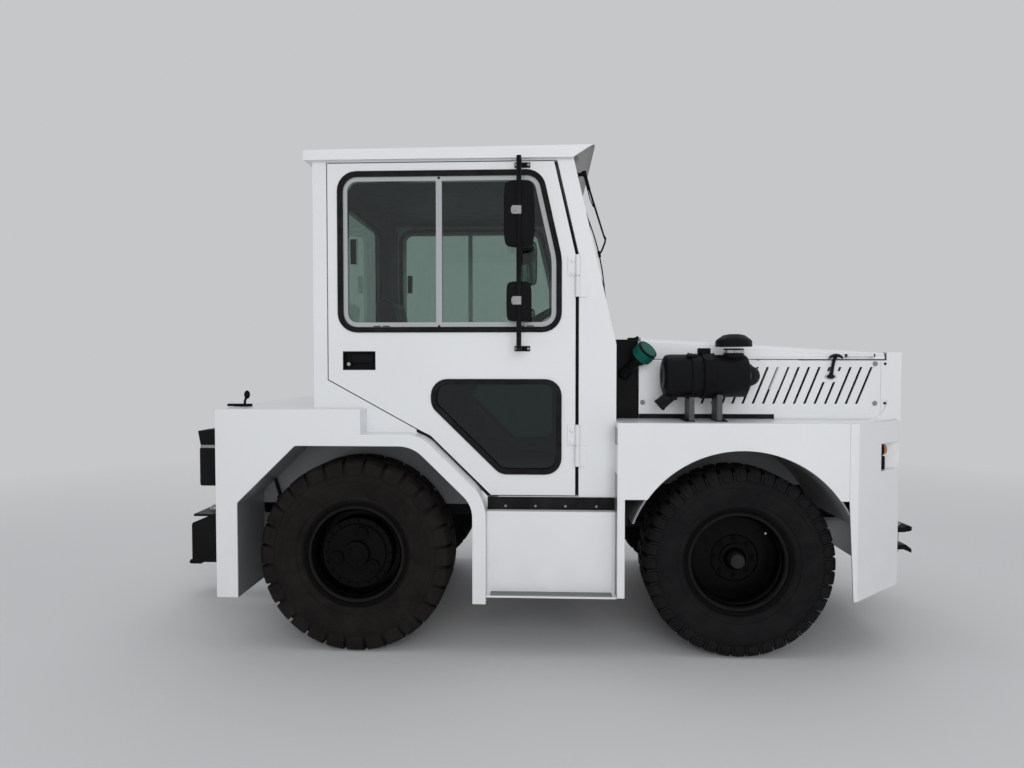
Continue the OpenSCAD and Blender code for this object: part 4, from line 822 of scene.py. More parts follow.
    def tube(self, path: Sequence[Point], radius: float | Callable[[float], float], sides: int = 16) -> Form:
        """A round tube along a path.

        Args:
            path: the points of its middle line.
            radius: its radius, or a function of the share of the way.
            sides: how many sides it has.

        Returns:
            The form itself.
        """
        points = [Vector(p) for p in path]
        last = len(points) - 1
        known = set(self.bm.verts)
        loops = []
        for i, point in enumerate(points):
            ahead = points[min(i + 1, last)] - points[max(i - 1, 0)]
            r = radius(i / last) if callable(radius) else radius
            verts = bmesh.ops.create_circle(self.bm, segments=sides, radius=r)["verts"]
            turn = Matrix.Translation(point) @ Axis.Z.vector.rotation_difference(ahead).to_matrix().to_4x4()
            bmesh.ops.transform(self.bm, matrix=turn, verts=verts)
            loops.append(list({e for v in verts for e in v.link_edges}))
        for one, two in zip(loops, loops[1:]):
            bmesh.ops.bridge_loops(self.bm, edges=one + two)
        for loop in (loops[0], loops[-1]):
            bmesh.ops.edgeloop_fill(self.bm, edges=loop)
        return self._close([v for v in self.bm.verts if v not in known])

    def ball(self, centre: Point, radius: float, squash: Point = (1, 1, 1), detail: int = 24) -> Form:
        """A round or flattened ball.

        Args:
            centre: its middle.
            radius: its radius.
            squash: a factor along each axis.
            detail: how many sides it has round its middle.

        Returns:
            The form itself.
        """
        verts = bmesh.ops.create_uvsphere(self.bm, u_segments=detail, v_segments=detail // 2,
                                          radius=radius)["verts"]
        bmesh.ops.scale(self.bm, vec=squash, verts=verts)
        return self._close(verts, Matrix.Translation(centre))

    def divide(self, cuts: int, only_along_x: bool = False) -> Form:
        """Divides the form's edges.

        Args:
            cuts: how many cuts each edge gets.
            only_along_x: whether only the edges that run along X are cut.

        Returns:
            The form itself.
        """
        edges = [e for e in self.bm.edges
                 if not only_along_x or abs((e.verts[0].co - e.verts[1].co).normalized().x) > 0.9]
        bmesh.ops.subdivide_edges(self.bm, edges=edges, cuts=cuts, use_grid_fill=True)
        return self

    def copy(self) -> Form:
        """Copies the form.

        Returns:
            A second form with the same mesh.
        """
        twin = Form()
        twin.bm.free()
        twin.bm = self.bm.copy()
        return twin

    def around(self, count: int, centre: Point, axis: Axis = Axis.Y) -> Form:
        """Repeats the form at equal angles.

        Args:
            count: how many there are in all.
            centre: where the axis passes.
            axis: the axis.

        Returns:
            The form itself.
        """
        geom = list(self.bm.verts) + list(self.bm.edges) + list(self.bm.faces)
        bmesh.ops.spin(self.bm, geom=geom, cent=Vector(centre), axis=axis.vector,
                       angle=math.tau * (count - 1) / count, steps=count - 1, use_duplicate=True)
        return self

    def moved(self, place: Matrix) -> Form:
        """Moves or turns the whole form."""
        bmesh.ops.transform(self.bm, matrix=place, verts=list(self.bm.verts))
        return self

    def wrapped(self, radius: float, centre: Point) -> Form:
        """Bends a form laid flat along X round an axle along Y.

        Args:
            radius: the radius at which X keeps its length.
            centre: the axle's middle, over which Z becomes the height.

        Returns:
            The form itself.
        """
        for v in self.bm.verts:
            angle = v.co.x / radius
            v.co = Vector(centre) + Vector((math.sin(angle) * v.co.z, v.co.y, math.cos(angle) * v.co.z))
        return self

    def flipped(self) -> Form:
        """Mirrors the form to the other side of the tug.

        Returns:
            The form itself.
        """
        bmesh.ops.scale(self.bm, vec=(1, -1, 1), verts=list(self.bm.verts))
        bmesh.ops.reverse_faces(self.bm, faces=list(self.bm.faces))
        return self

    def on(self, side: Side) -> Form:
        """Keeps the form on the left, or mirrors it to the right."""
        return self if side is Side.LEFT else self.flipped()

    def join(self, *others: Form) -> Form:
        """Takes in other forms, which are used up.

        Args:
            others: the other forms.

        Returns:
            The form itself.
        """
        for other in others:
            mesh = other.mesh("joined")
            self.bm.from_mesh(mesh)
            bpy.data.meshes.remove(mesh)
        return self

    def both(self) -> Form:
        """Adds the form's mirror image on the other side."""
        return self.join(self.copy().flipped())

    def mesh(self, name: str) -> bpy.types.Mesh:
        """Uses the form up as a mesh.

        Args:
            name: the mesh's name.

        Returns:
            The mesh.
        """
        mesh = bpy.data.meshes.new(name)
        self.bm.to_mesh(mesh)
        self.bm.free()
        return mesh


class Workshop:
    """Turns forms into pieces that ride on the tug's bodies."""

    sharp_angle = 28.0
    flat_angle = 0.6
    weld = 2e-5

    def __init__(self, frame: dict) -> None:
        """Keeps the frame and looks up which body each node belongs to.
        """
        self.frame = frame
        self.count = 0
        self.body_of = {n: b for b, nodes in frame["record"]["behaviour"]["bodies"].items() for n in nodes}
        self.slots = {m["slot"] for m in frame["record"]["materials"]}

    def piece(self, form: Form, name: str, finish: Finish, body: str = "chassis", smooth: float = 38.0,
              replaces: Sequence[str] = ()) -> bpy.types.Object:
        """Makes an object of a form.

        Args:
            form: the mesh, which is used up.
            name: the piece's name.
            finish: its finish.
            body: the body that it rides on.
            smooth: the angle in degrees over which an edge stays sharp.
            replaces: the nodes that the piece stands for.

        Returns:
            The new object.
        """
        mesh = form.mesh(name)
        mesh.shade_smooth()
        mesh.set_sharp_from_angle(angle=math.radians(smooth))
        mesh.materials.append(finish.material())
        obj = bpy.data.objects.new(name, mesh)
        bpy.context.scene.collection.objects.link(obj)
        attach(obj, body)
        if replaces:
            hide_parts(*replaces)
        self.count += 1
        LOG.info("%s on %s, %d faces", name, body, len(mesh.polygons))
        return obj

    def dress(self, finish: Finish, *nodes: str) -> None:
        """Gives nodes of the frame a finish.

        Args:
            finish: the finish.
            nodes: the nodes' names.
        """
        for node in nodes:
            slots = self.frame["nodes"][node].data.materials
            slots.clear()
            slots.append(finish.material())
            LOG.info("%s dressed in %s", node, finish.name)

    def eased(self, finish: Finish, width: float, *nodes: str) -> None:
        """Stands a copy with rounded edges in for each node.

        Args:
            finish: the copies' finish.
            width: how far each sharp edge is rounded, in metres.
            nodes: the nodes to copy.
        """
        for node in nodes:
            form = Form()
            form.bm.from_mesh(self.frame["nodes"][node].data)
            bmesh.ops.remove_doubles(form.bm, verts=list(form.bm.verts), dist=self.weld)
            bmesh.ops.dissolve_limit(form.bm, angle_limit=math.radians(self.flat_angle),
                                     verts=list(form.bm.verts), edges=list(form.bm.edges))
            form.bevel(form.bm.edges, width, self.sharp_angle, 2)
            obj = self.piece(form, f"{node}_eased", finish, self.body_of[node], 30.0, (node,))
            obj.modifiers.new("flat_faces", "WEIGHTED_NORMAL").keep_sharp = True


@dataclass
class Group:
    """A sub-assembly that makes its pieces in the workshop."""

    shop: Workshop


@dataclass
class SideGroup(Group):
    """A sub-assembly that is modelled on the left side and stands on one side."""

    side: Side


# Wheels


@dataclass
class WheelPart(SideGroup):
    """A rim or a tyre that stands in for the frame's own node."""

    node: str
    axle: tuple[float, float]

    @property
    def centre(self) -> tuple[float, float, float]:
        """The axle's place on the tug's middle plane."""
        return (self.axle[0], 0.0, self.axle[1])

    def stand_in(self, form: Form, name: str, finish: Finish, smooth: float) -> None:
        """Makes the piece that replaces the node."""
        self.shop.piece(form.on(self.side), name, finish, self.shop.body_of[self.node], smooth, (self.node,))


@dataclass
class Tyre(WheelPart):
    """A tyre with a lathed carcass and wrapped tread blocks."""

    name: str
    radius: float
    finish: Finish
    blocks: int
    block_share: float
    shoulder_in: float
    ribs: int = 0
    mid_y: float = 0.6475
    half_w: float = 0.1175
    bead_w: float = 0.083
    tread: float = 0.022
    skew: float = 0.35

    def wall(self) -> list[tuple[float, float]]:
        """Half of the carcass's profile, from the tread's middle to the bead.

        Returns:
            Points of radius and distance outward.
        """
        r, w = self.radius, self.half_w
        return [(r - 0.016, 0.0), (r - 0.016, w - 0.034), (r - 0.024, w - 0.02), (r - 0.046, w - 0.009),
                (0.352, w - 0.003), (0.336, w - 0.001), (0.333, w + 0.0005), (0.327, w + 0.0005),
                (0.324, w - 0.002), (0.305, w - 0.0025), (0.285, w - 0.007), (0.268, w - 0.014),
                (0.262, w - 0.0155), (0.26, w - 0.0195), (0.248, w - 0.024), (0.244, w - 0.0235),
                (0.238, w - 0.0275), (0.233, self.bead_w), (0.2, self.bead_w - 0.002)]

    def block(self, pitch: float) -> Form:
        """One middle block laid flat, which tapers upward and leans along the tread.

        Args:
            pitch: the distance from block to block.

        Returns:
            The block.
        """
        half, r, reach = pitch * self.block_share / 2, self.radius, self.shoulder_in - 0.012
        form = Form().box((-half, -reach, r - self.tread), (half, reach, r)).divide(2, only_along_x=True)
        for v in form.bm.verts:
            top = v.co.z > r - 0.001
            v.co.x = v.co.x * (0.93 if top else 1.0) + (v.co.y + reach) * self.skew
        return form

    def shoulder(self, pitch: float) -> Form:
        """One shoulder block with its face on the side wall.

        Args:
            pitch: the distance from block to block.

        Returns:
            The block.
        """
        w, r, inner = self.half_w, self.radius, self.shoulder_in
        half = pitch * self.block_share / 2
        form = Form().prism([(inner, r - self.tread), (w - 0.03, r - self.tread), (w - 0.012, 0.352),
                             (w - 0.0005, 0.352), (w + 0.0015, 0.362), (w - 0.006, r - 0.016),
                             (w - 0.019, r - 0.004), (w - 0.032, r), (inner, r)], -half, half,
                            Axis.X).divide(2, only_along_x=True)
        form.bevel(form.bm.edges, 0.003, 50.0, 1)
        return form

    def rows(self) -> list[tuple[Form, int]]:
        """The tread's rows and the side walls' ribs.

        Returns:
            One block or rib of each row, laid flat, and how many go round.
        """
        pitch = math.tau * self.radius / self.blocks
        rows = [(self.shoulder(pitch), self.blocks),
                (self.shoulder(pitch).flipped().moved(placed((pitch / 2, 0, 0))), self.blocks),
                (self.block(pitch).moved(placed((pitch / 4, 0, 0))), self.blocks)]
        if self.ribs:
            half, w = math.tau * self.radius / self.ribs * 0.16, self.half_w
            rib = Form().box((-half, w - 0.012, 0.346), (half, w + 0.0005, 0.392), 0.002)
            rows += [(rib, self.ribs), (rib.copy().flipped(), self.ribs)]
        return rows

    def build(self) -> None:
        """Builds carcass, blocks and ribs, and stands them in for the plain tyre."""
        centre = (self.axle[0], self.mid_y, self.axle[1])
        half = self.wall()
        carcass = Form().lathe(half + [(r, -a) for r, a in reversed(half)], centre, steps=96)
        for row, count in self.rows():
            carcass.join(row.wrapped(self.radius, centre).around(count, centre))
        self.stand_in(carcass, self.name, self.finish, 34.0)


@dataclass
class Rim(WheelPart):
    """A rim's barrel, with its disc's face at disc_y."""

    disc_y: float = 0.0
    lip: Outline = ((0.229, 0.7365), (0.2265, 0.738), (0.2235, 0.7368), (0.2185, 0.733))
    seat: Outline = ((0.212, 0.729), (0.202, 0.725), (0.196, 0.718))
    back: Outline = ((0.193, 0.6), (0.201, 0.588), (0.2045, 0.566), (0.229, 0.563), (0.229, 0.557),
                     (0.2265, 0.557))
    inside: Outline = ((0.2035, 0.589), (0.195, 0.602), (0.195, 0.69), (0.2055, 0.7), (0.2065, 0.726),
                       (0.229, 0.731))

    def barrel(self, groove: Outline, well: Outline, step: Outline) -> Form:
        """Lathes the barrel.

        Args:
            groove: the profile between lip and seat.
            well: the profile from the seat down to the back.
            step: the profile from the back to the inside.

        Returns:
            The barrel.
        """
        return Form().lathe([*self.lip, *groove, *self.seat, *well, *self.back, *step, *self.inside],
                            self.centre, steps=96)

    def turned(self, form: Form) -> None:
        """Makes the finished rim of a form."""
        self.stand_in(form, f"{self.node}_turned", RIM_BLACK, 30.0)


@dataclass
class FrontRim(Rim):
    """The deep front rim with its nuts and domed cap."""

    disc_y: float = 0.648
    nut_circle: float = 0.083
    nuts: int = 8
    valve_circle: float = 0.171
    valve_angle: float = 42.0

    def build(self) -> None:
        """Lathes the barrel, disc and hub, and sets the nuts and the valve."""
        centre, d = self.centre, self.disc_y
        groove = [(0.216, 0.7345), (0.2135, 0.7335)]
        well = [(0.1935, 0.698), (0.1865, 0.69), (0.184, 0.66), (0.182, d), (0.182, d - 0.008),
                (0.193, d - 0.01)]
        step = [(0.2265, 0.5585), (0.2, 0.562), (0.2, 0.5625), (0.2065, 0.5665), (0.2065, 0.5675)]
        form = self.barrel(groove, well, step)
        form.lathe([(0.1825, d), (0.15, d + 0.002), (0.12, d + 0.012), (0.104, d + 0.014),
                    (0.098, d + 0.008), (0.062, d + 0.008), (0.062, d - 0.03), (0.0305, d - 0.03),
                    (0.0305, d - 0.006), (0.1825, d - 0.006)], centre, steps=96)
        form.lathe([(0.0, d + 0.06), (0.02, d + 0.0585), (0.034, d + 0.052), (0.043, d + 0.041),
                    (0.047, d + 0.028), (0.049, d + 0.026), (0.049, d + 0.02), (0.062, d + 0.017),
                    (0.062, d), (0.0, d)], centre, steps=64, closed=False)
        foot = (0, d, self.nut_circle)
        nut = Form().bolt(foot, 0.018, 0.0125, ease=0.0015).bolt(foot, 0.026, 0.0065, 16, 0.001)
        nut.bolt(foot, 0.011, 0.0165, 24)
        self.turned(form.join(nut.moved(placed(centre)).around(self.nuts, centre)))
        angle = math.radians(self.valve_angle)
        x = centre[0] + math.cos(angle) * self.valve_circle
        z = centre[2] + math.sin(angle) * self.valve_circle
        stem = Form().bolt((x, d, z), 0.03, 0.0042, 12).bolt((x, d + 0.026, z), 0.01, 0.0052, 12, 0.001)
        self.shop.piece(stem.on(self.side), f"{self.node}_valve", STEEL, self.shop.body_of[self.node])


@dataclass
class RearRim(Rim):
    """The rear rim with its planetary hub."""

    disc_y: float = 0.693
    cap_circle: float = 0.09
    cap_angles: tuple[float, ...] = (77.0, 192.0, -38.0)
    bolt_circle: float = 0.142
    bolts: int = 20
    boss_circle: float = 0.044
    boss_bolts: int = 6

    def build(self) -> None:
        """Lathes the barrel and the hub, and sets the caps and bolts."""
        centre, d = self.centre, self.disc_y
        groove = [(0.2165, 0.7342), (0.214, 0.7335)]
        well = [(0.1935, 0.708), (0.1885, 0.702), (0.187, d - 0.012), (0.187, d - 0.024), (0.193, d - 0.026)]
        form = self.barrel(groove, well, [(0.2065, 0.5665)])
        form.lathe([(0.1935, d - 0.054), (0.16, d - 0.052), (0.156, d - 0.046), (0.155, d - 0.004),
                    (0.155, d + 0.01), (0.153, d + 0.012), (0.13, d + 0.012), (0.128, d + 0.02),
                    (0.126, d + 0.022), (0.058, d + 0.022), (0.057, d + 0.026), (0.054, d + 0.036),
                    (0.051, d + 0.038), (0.036, d + 0.038), (0.034, d + 0.0355), (0.0, d + 0.0355)], centre,
                   steps=96, closed=False)
        form.lathe([(0.0455, d - 0.072), (0.1935, d - 0.072), (0.1935, d - 0.056), (0.0455, d - 0.056)],
                   centre, steps=64)
        for angle in map(math.radians, self.cap_angles):
            mid = (centre[0] + self.cap_circle * math.cos(angle), 0.0,
                   centre[2] + self.cap_circle * math.sin(angle))
            form.lathe([(0.031, d + 0.021), (0.031, d + 0.028), (0.029, d + 0.031), (0.024, d + 0.031),
                        (0.022, d + 0.0285), (0.013, d + 0.0285), (0.012, d + 0.031), (0.0, d + 0.0315)], mid,
                       steps=32, closed=False)
        bolt = Form().bolt((0, d + 0.011, self.bolt_circle), 0.009, 0.0075, ease=0.001)
        form.join(bolt.moved(placed(centre)).around(self.bolts, centre))
        small = Form().bolt((0, d + 0.036, self.boss_circle), 0.005, 0.004)
        self.turned(form.join(small.moved(placed(centre)).around(self.boss_bolts, centre)))


# Cab


@dataclass
class Cab(Group):
    """Trim, seals and fittings of the cab."""

    gap_w: float = 0.034
    gap_y: tuple[float, float] = (0.6503, 0.6545)
    lip_y: tuple[float, float] = (0.644, 0.689)
    dial_y: tuple[float, ...] = (0.15, 0.21, 0.27)
    door_edge: tuple[tuple[float, float], ...] = (
        (-0.967, 1.181), (-0.562, 0.957), (-0.515, 0.933), (-0.249, 0.674), (0.135, 0.674), (0.135, 1.721),
        (0.032, 2.129), (-0.967, 2.129))

    def gaskets(self) -> None:
        """Black rubber in the gap round each door."""
        form = Form().band(self.door_edge[::-1], self.gap_w, *self.gap_y).both()
        self.shop.piece(form, "door_gaskets", SEAL)

    def lips(self) -> None:
        """Black rubber that fills the gap between each door's lower edges and the ledge."""
        ledge = rounded([(-0.64, 0.9515), (-0.5322, 0.9515), (-0.2625, 0.6866), (-0.2625, 0.674)],
                        (0.0, 0.15, 0.18, 0.0))
        door = [(-0.249, 0.6765), (-0.5125, 0.9345), (-0.5605, 0.9595), (-0.64, 0.9595)]
        self.shop.piece(Form().prism(ledge + door, *self.lip_y).both(), "door_lips", SEAL)

    def lining(self) -> None:
        """The headliner and a mat on the floor."""
        form = Form().box((-0.994, -0.608, 2.12), (0.07, 0.608, 2.133), 0.004)
        form.box((-0.9, -0.5, 2.114), (-0.03, 0.5, 2.121), 0.003)
        self.shop.piece(form, "headliner", TRIM)
        mat = Form().box((-0.345, -0.48, 0.6795), (0.25, 0.48, 0.687), 0.003)
        self.shop.piece(mat, "floor_mat", HOSE)

    def dash(self) -> None:
        """A binnacle with round gauges, and a low shelf beside it."""
        form = Form().prism([(0.06, 1.29), (0.19, 1.3), (0.17, 1.395), (0.1, 1.41)], 0.07, 0.35,
                            ease=0.012)
        form.box((0.08, -0.5, 1.292), (0.18, -0.12, 1.318), 0.008)
        self.shop.piece(form, "binnacle", TRIM)
        dials = Form()
        for y in self.dial_y:
            dials.rod((0.1, y, 1.35), (0.066, y, 1.34), 0.026, ease=0.002)
        self.shop.piece(dials, "gauges", PLASTIC)

    def build(self) -> None:
        """Builds the cab's fittings."""
        self.shop.dress(SEAL, "cab_seals", "door_seal_left", "door_seal_right")
        self.shop.dress(GLASS, "cab_glass", "door_glass_left", "door_glass_right")
        self.shop.dress(ALLOY, "window_frame_left", "window_frame_right")
        self.shop.dress(TRIM, "dashboard", "cab_floor")
        self.gaskets()
        self.lips()
        self.lining()
        self.dash()
        Seat(self.shop).build()
        SteeringWheel(self.shop).build()
        Wiper(self.shop).build()


@dataclass
class Seat(Group):
    """The driver's seat: a padded cushion and back on a suspension box."""

    y: float = 0.21
    x: float = -0.5
    base_z: float = 0.942
    edge: float = 0.03
    fill: float = 0.7
    voxel: float = 0.011
    frames: int = 16
    pressure: float = 3.5
    swell: float = 0.012
    seam_share: float = 0.62
    seam_w: float = 0.012
    seam_depth: float = 0.006

    def pad(self, name: str, size: Point, place: Matrix) -> None:
        """A stuffed pad, blown up a little by cloth pressure and sewn across.

        Args:
            name: the piece's name.
            size: its length, width and thickness.
            place: where it goes.
        """
        half = [s / 2 for s in size]
        form = Form().box([-h for h in half], half, self.edge, steps=4).divide(2)
        obj = self.shop.piece(form, name, CLOTH)
        remesh = obj.modifiers.new("even", "REMESH")
        remesh.mode = "VOXEL"
        remesh.voxel_size = self.voxel
        self.bake(obj)
        stuffing = obj.modifiers.new("stuffing", "CLOTH").settings
        stuffing.use_pressure = True
        stuffing.uniform_pressure_force = self.pressure
        stuffing.effector_weights.gravity = 0.0
        for step in range(1, self.frames + 1):
            bpy.context.scene.frame_set(step)
        self.bake(obj)
        bpy.context.scene.frame_set(1)
        for v in obj.data.vertices:
            if v.co.z > 0:
                away = abs(abs(v.co.y) - half[1] * self.seam_share)
                v.co.z -= self.seam_depth * max(0.0, 1.0 - away / self.seam_w)
            for i, h in enumerate(half):
                v.co[i] = max(-h - self.swell, min(h + self.swell, v.co[i]))
        obj.data.transform(place)
        obj.data.shade_smooth()
        soft = obj.modifiers.new("soft", "SUBSURF")
        soft.levels = soft.render_levels = 1

    def bake(self, obj: bpy.types.Object) -> None:
        """Applies the piece's modifiers to its mesh.

        Args:
            obj: the piece.
        """
        shape = bpy.data.meshes.new_from_object(obj.evaluated_get(bpy.context.evaluated_depsgraph_get()))
        old = obj.data
        obj.modifiers.clear()
        obj.data = shape
        shape.name = old.name + "_mesh"

    def build(self) -> None:
        """Builds the pads, the box under them and its top plate."""
        x, y, z = self.x, self.y, self.base_z
        self.pad("seat_cushion", (0.44, 0.44, 0.085), placed((x - 0.09, y, z + 0.205), -4))
        self.pad("seat_back", (0.42, 0.42, 0.075), placed((x - 0.345, y, z + 0.465), 78))
        form = Form().box((x - 0.29, y - 0.15, z), (x + 0.07, y + 0.15, z + 0.135), 0.01)
        form.box((x - 0.3, y - 0.19, z + 0.135), (x + 0.09, y + 0.19, z + 0.163), 0.006)
        self.shop.piece(form, "seat_box", PLASTIC, replaces=("seat",))


@dataclass
class SteeringWheel(Group):
    """The wheel's rim, spokes and hub on the leaning column."""

    foot: tuple[float, float, float] = (0.15, 0.21, 1.01)
    tilt: float = 32.0
    length: float = 0.52
    radius: float = 0.19
    rim_r: float = 0.0145
    spokes: tuple[float, ...] = (90, 210, 330)

    def build(self) -> None:
        """Builds the wheel in its own axes and leans it with the column."""
        turns = [math.tau * i / 16 for i in range(16)]
        profile = [(self.radius + self.rim_r * math.cos(a), self.rim_r * math.sin(a)) for a in turns]
        form = Form().lathe(profile, axis=Axis.Z, steps=64)
        form.lathe([(0.012, -0.024), (0.036, -0.024), (0.041, -0.01), (0.041, 0.006), (0.034, 0.013),
                    (0.012, 0.014)], axis=Axis.Z, steps=40)
        for turn in self.spokes:
            spoke = Form().box((0.03, -0.014, -0.011), (self.radius - 0.004, 0.014, -0.003), 0.003)
            form.join(spoke.moved(placed((0, 0, 0), turn, "Z")))
        form.moved(placed(self.foot, -self.tilt) @ placed((0, 0, self.length)))
        self.shop.piece(form, "steering_wheel_moulded", PLASTIC, "steering_wheel",
                        replaces=("steering_wheel",))


@dataclass
class Wiper(Group):
    """The windshield wiper, built in the screen's own axes: X off the glass, Y across and Z up the rake."""

    head: tuple[float, float, float] = (0.11, 0.0, 2.139)
    rake: float = 13.1
    y: float = -0.5
    top: float = -0.114
    low: float = -0.697
    bridges: tuple[float, float] = (-0.25, -0.56)
    bridge_half: float = 0.11

    def arm(self) -> Form:
        """Spindle, sprung arm and the link that turns back to the blade.

        Returns:
            The arm.
        """
        form = Form().rod((0.0003, 0, -0.033), (0.0225, 0, -0.033), 0.017, ease=0.002)
        form.rod((0.021, 0, -0.033), (0.058, 0, -0.033), 0.0085, ease=0.0015)
        form.rod((0.04, 0, -0.033), (0.06, 0, -0.033), 0.0125, sides=24, ease=0.002)
        form.prism([(0.043, -0.022), (0.059, -0.022), (0.062, -0.11), (0.05, -0.11)], -0.0095, 0.0095,
                   ease=0.002)
        form.prism([(0.0515, -0.1), (0.0605, -0.1), (0.078, -0.336), (0.071, -0.338)], -0.0055, 0.0055,
                   ease=0.0012)
        for side in (-0.005, 0.005):
            form.tube([(0.047, side, -0.06), (0.05, side, -0.15), (0.057, side, -0.19)], 0.0016, 8)
        form.tube([(0.074, 0, -0.325), (0.0775, 0, -0.343), (0.073, 0, -0.358), (0.05, 0, -0.392),
                   (0.036, 0, -0.4055)], 0.0042, 12)
        return form.ball((0.0775, 0, -0.341), 0.0062)

    def blade(self) -> Form:
        """The main bridge with two small ones, and their claws.

        Returns:
            The blade's metal parts.
        """
        mid, reach = (self.top + self.low) / 2, self.bridge_half
        high, low = self.bridges
        above, under = (high + mid) / 2, (low + mid) / 2
        form = Form().prism([(0.026, low), (0.034, under), (0.0375, mid), (0.034, above), (0.026, high),
                             (0.022, high), (0.029, above), (0.032, mid), (0.029, under), (0.022, low)],
                            -0.005, 0.005, ease=0.001)
        form.box((0.029, -0.008, mid - 0.014), (0.041, 0.008, mid + 0.014), 0.002)
        for at in self.bridges:
            form.prism([(0.014, at - reach), (0.025, at), (0.014, at + reach), (0.0105, at + reach),
                        (0.02, at), (0.0105, at - reach)], -0.004, 0.004, ease=0.0008)
            for end in (at - reach, at + reach):
                form.box((0.004, -0.0055, end - 0.008), (0.0135, 0.0055, end + 0.008), 0.001)
        return form

    def build(self) -> None:
        """Builds arm and blade and leans them with the screen."""
        place = placed(self.head, -self.rake) @ placed((0, self.y, 0))
        self.shop.piece(self.arm().join(self.blade()).moved(place), "wiper_arm", BLACK, replaces=("wiper",))
        rubber = Form().box((-0.004, -0.0034, self.low), (0.0115, 0.0034, self.top), 0.001)
        rubber.box((-0.0172, -0.0012, self.low + 0.002), (-0.003, 0.0012, self.top - 0.002))
        self.shop.piece(rubber.moved(place), "wiper_rubber", SEAL)


# Doors


@dataclass
class DoorFittings(SideGroup):
    """Handle, hinge bolts, window pins and mirrors of one door."""

    half_w: float = 0.69
    handle: tuple[float, float, float, float] = (-0.898, 1.225, 0.144, 0.082)
    hinge_rows: tuple[float, ...] = (0.808, 1.541)
    hinge_bolts: tuple[float, ...] = (0.104, 0.156)
    mirror_x: float = -0.122
    mirror_reach: float = 0.095
    bracket_z: tuple[float, float] = (1.318, 2.107)

    def fit(self, form: Form, name: str, finish: Finish, smooth: float = 38.0,
            replaces: Sequence[str] = ()) -> None:
        """Makes a piece that rides on the group's own door."""
        word = self.side.value
        self.shop.piece(form.on(self.side), f"{name}_{word}", finish, f"door_{word}", smooth, replaces)

    def latch(self) -> None:
        """The black recess plate, its paddle and the round lock."""
        x, z, w, h = self.handle
        y = self.half_w
        form = Form().band([(x, z + h), (x + w, z + h), (x + w, z), (x, z)], 0.006, y - 0.02, y + 0.0015,
                           ease=0.001)
        form.box((x + 0.006, y - 0.0215, z + 0.006), (x + w - 0.006, y - 0.017, z + h - 0.006))
        form.box((x + 0.04, y - 0.017, z + 0.03), (x + w - 0.012, y - 0.002, z + h - 0.012), 0.004)
        form.bolt((x + 0.024, y - 0.017, z + 0.026), 0.011, 0.013, 32, 0.002)
        self.fit(form, "door_latch", PLASTIC)
        key = Form().bolt((x + 0.024, y - 0.006, z + 0.026), 0.0015, 0.008, 32, 0.0006)
        self.fit(key, "door_lock", STEEL)

    def bolts(self) -> None:
        """Round white bolt heads on the door's hinge leaves."""
        form = Form()
        for z in self.hinge_rows:
            for rise in self.hinge_bolts:
                form.lathe([(0.0, 0.7035), (0.006, 0.703), (0.0095, 0.7005), (0.0105, 0.697), (0.0, 0.697)],
                           (0.105, 0.0, z + rise), steps=24, closed=False)
        self.fit(form, "hinge_bolts", WHITE)

    def window(self) -> None:
        """Drain slots and pins in the alloy frame, and the sliding pane's latch."""
        y = self.half_w - 0.003
        form = Form()
        for x, z in ((-0.473, 2.058), (-0.473, 1.4155)):
            form.bolt((x, y - 0.002, z), 0.0032, 0.0055, 16)
        for x in (-0.762, -0.722, -0.132, -0.092):
            form.box((x, y - 0.002, 1.4145), (x + 0.032, y + 0.001, 1.4185))
        self.fit(form, "frame_slots", SEAL)
        grip = Form().box((-0.868, 0.6615, 1.69), (-0.842, 0.6685, 1.8), 0.002)
        self.fit(grip, "pane_latch", PLASTIC)
        edge = Form().box((-0.842, 0.6615, 1.69), (-0.836, 0.669, 1.8), 0.001)
        self.fit(edge, "pane_latch_edge", ALLOY)

    def mirror_head(self, half_w: float, half_h: float) -> Form:
        """A mirror's housing, crowned behind and narrower towards its corners.

        Args:
            half_w: half its width.
            half_h: half its height.

        Returns:
            The housing, with its glass side at -0.010.
        """
        shell = Form().box((-half_w, -0.01, -half_h), (half_w, 0.018, half_h)).divide(7)
        for v in shell.bm.verts:
            u, t = abs(v.co.x / half_w), abs(v.co.z / half_h)
            near = max(0.0, 1 - u ** 3.2) * max(0.0, 1 - t ** 4.5)
            corner = 1 - 0.1 * min(u ** 4, t ** 4)
            v.co.x *= corner
            v.co.z *= corner
            if v.co.y > 0:
                v.co.y *= 0.3 + 0.7 * near
        return shell

    def mirrors(self) -> None:
        """A steel tube on two brackets, with a large and a small mirror head."""
        x, face = self.mirror_x, self.half_w
        y = face + self.mirror_reach
        arm = Form().tube([(x, y, 1.312), (x, y, 1.6), (x, y, 2.122)], 0.0105, 20)
        for z in self.bracket_z:
            arm.box((x - 0.011, face + 0.004, z - 0.0055), (x + 0.011, y + 0.004, z + 0.0055), 0.002)
            arm.box((x - 0.022, face + 0.0004, z - 0.0115), (x + 0.046, face + 0.006, z + 0.0115), 0.002)
        self.fit(arm, "mirror_arm", BLACK, replaces=(f"mirror_{self.side.value}",))
        heads, glass = Form(), Form()
        for low, high, w in ((1.745, 2.024, 0.064), (1.432, 1.6, 0.053)):
            mid, half = (low + high) / 2, (high - low) / 2
            heads.join(self.mirror_head(w, half).moved(placed((x, y - 0.02, mid))))
            w, half = w - 0.01, half - 0.012
            glass.box((x - w, y - 0.0325, mid - half), (x + w, y - 0.0295, mid + half), 0.002)
        self.fit(heads, "mirror_heads", PLASTIC, 60.0)
        self.fit(glass, "mirror_glass", MIRROR_GLASS)

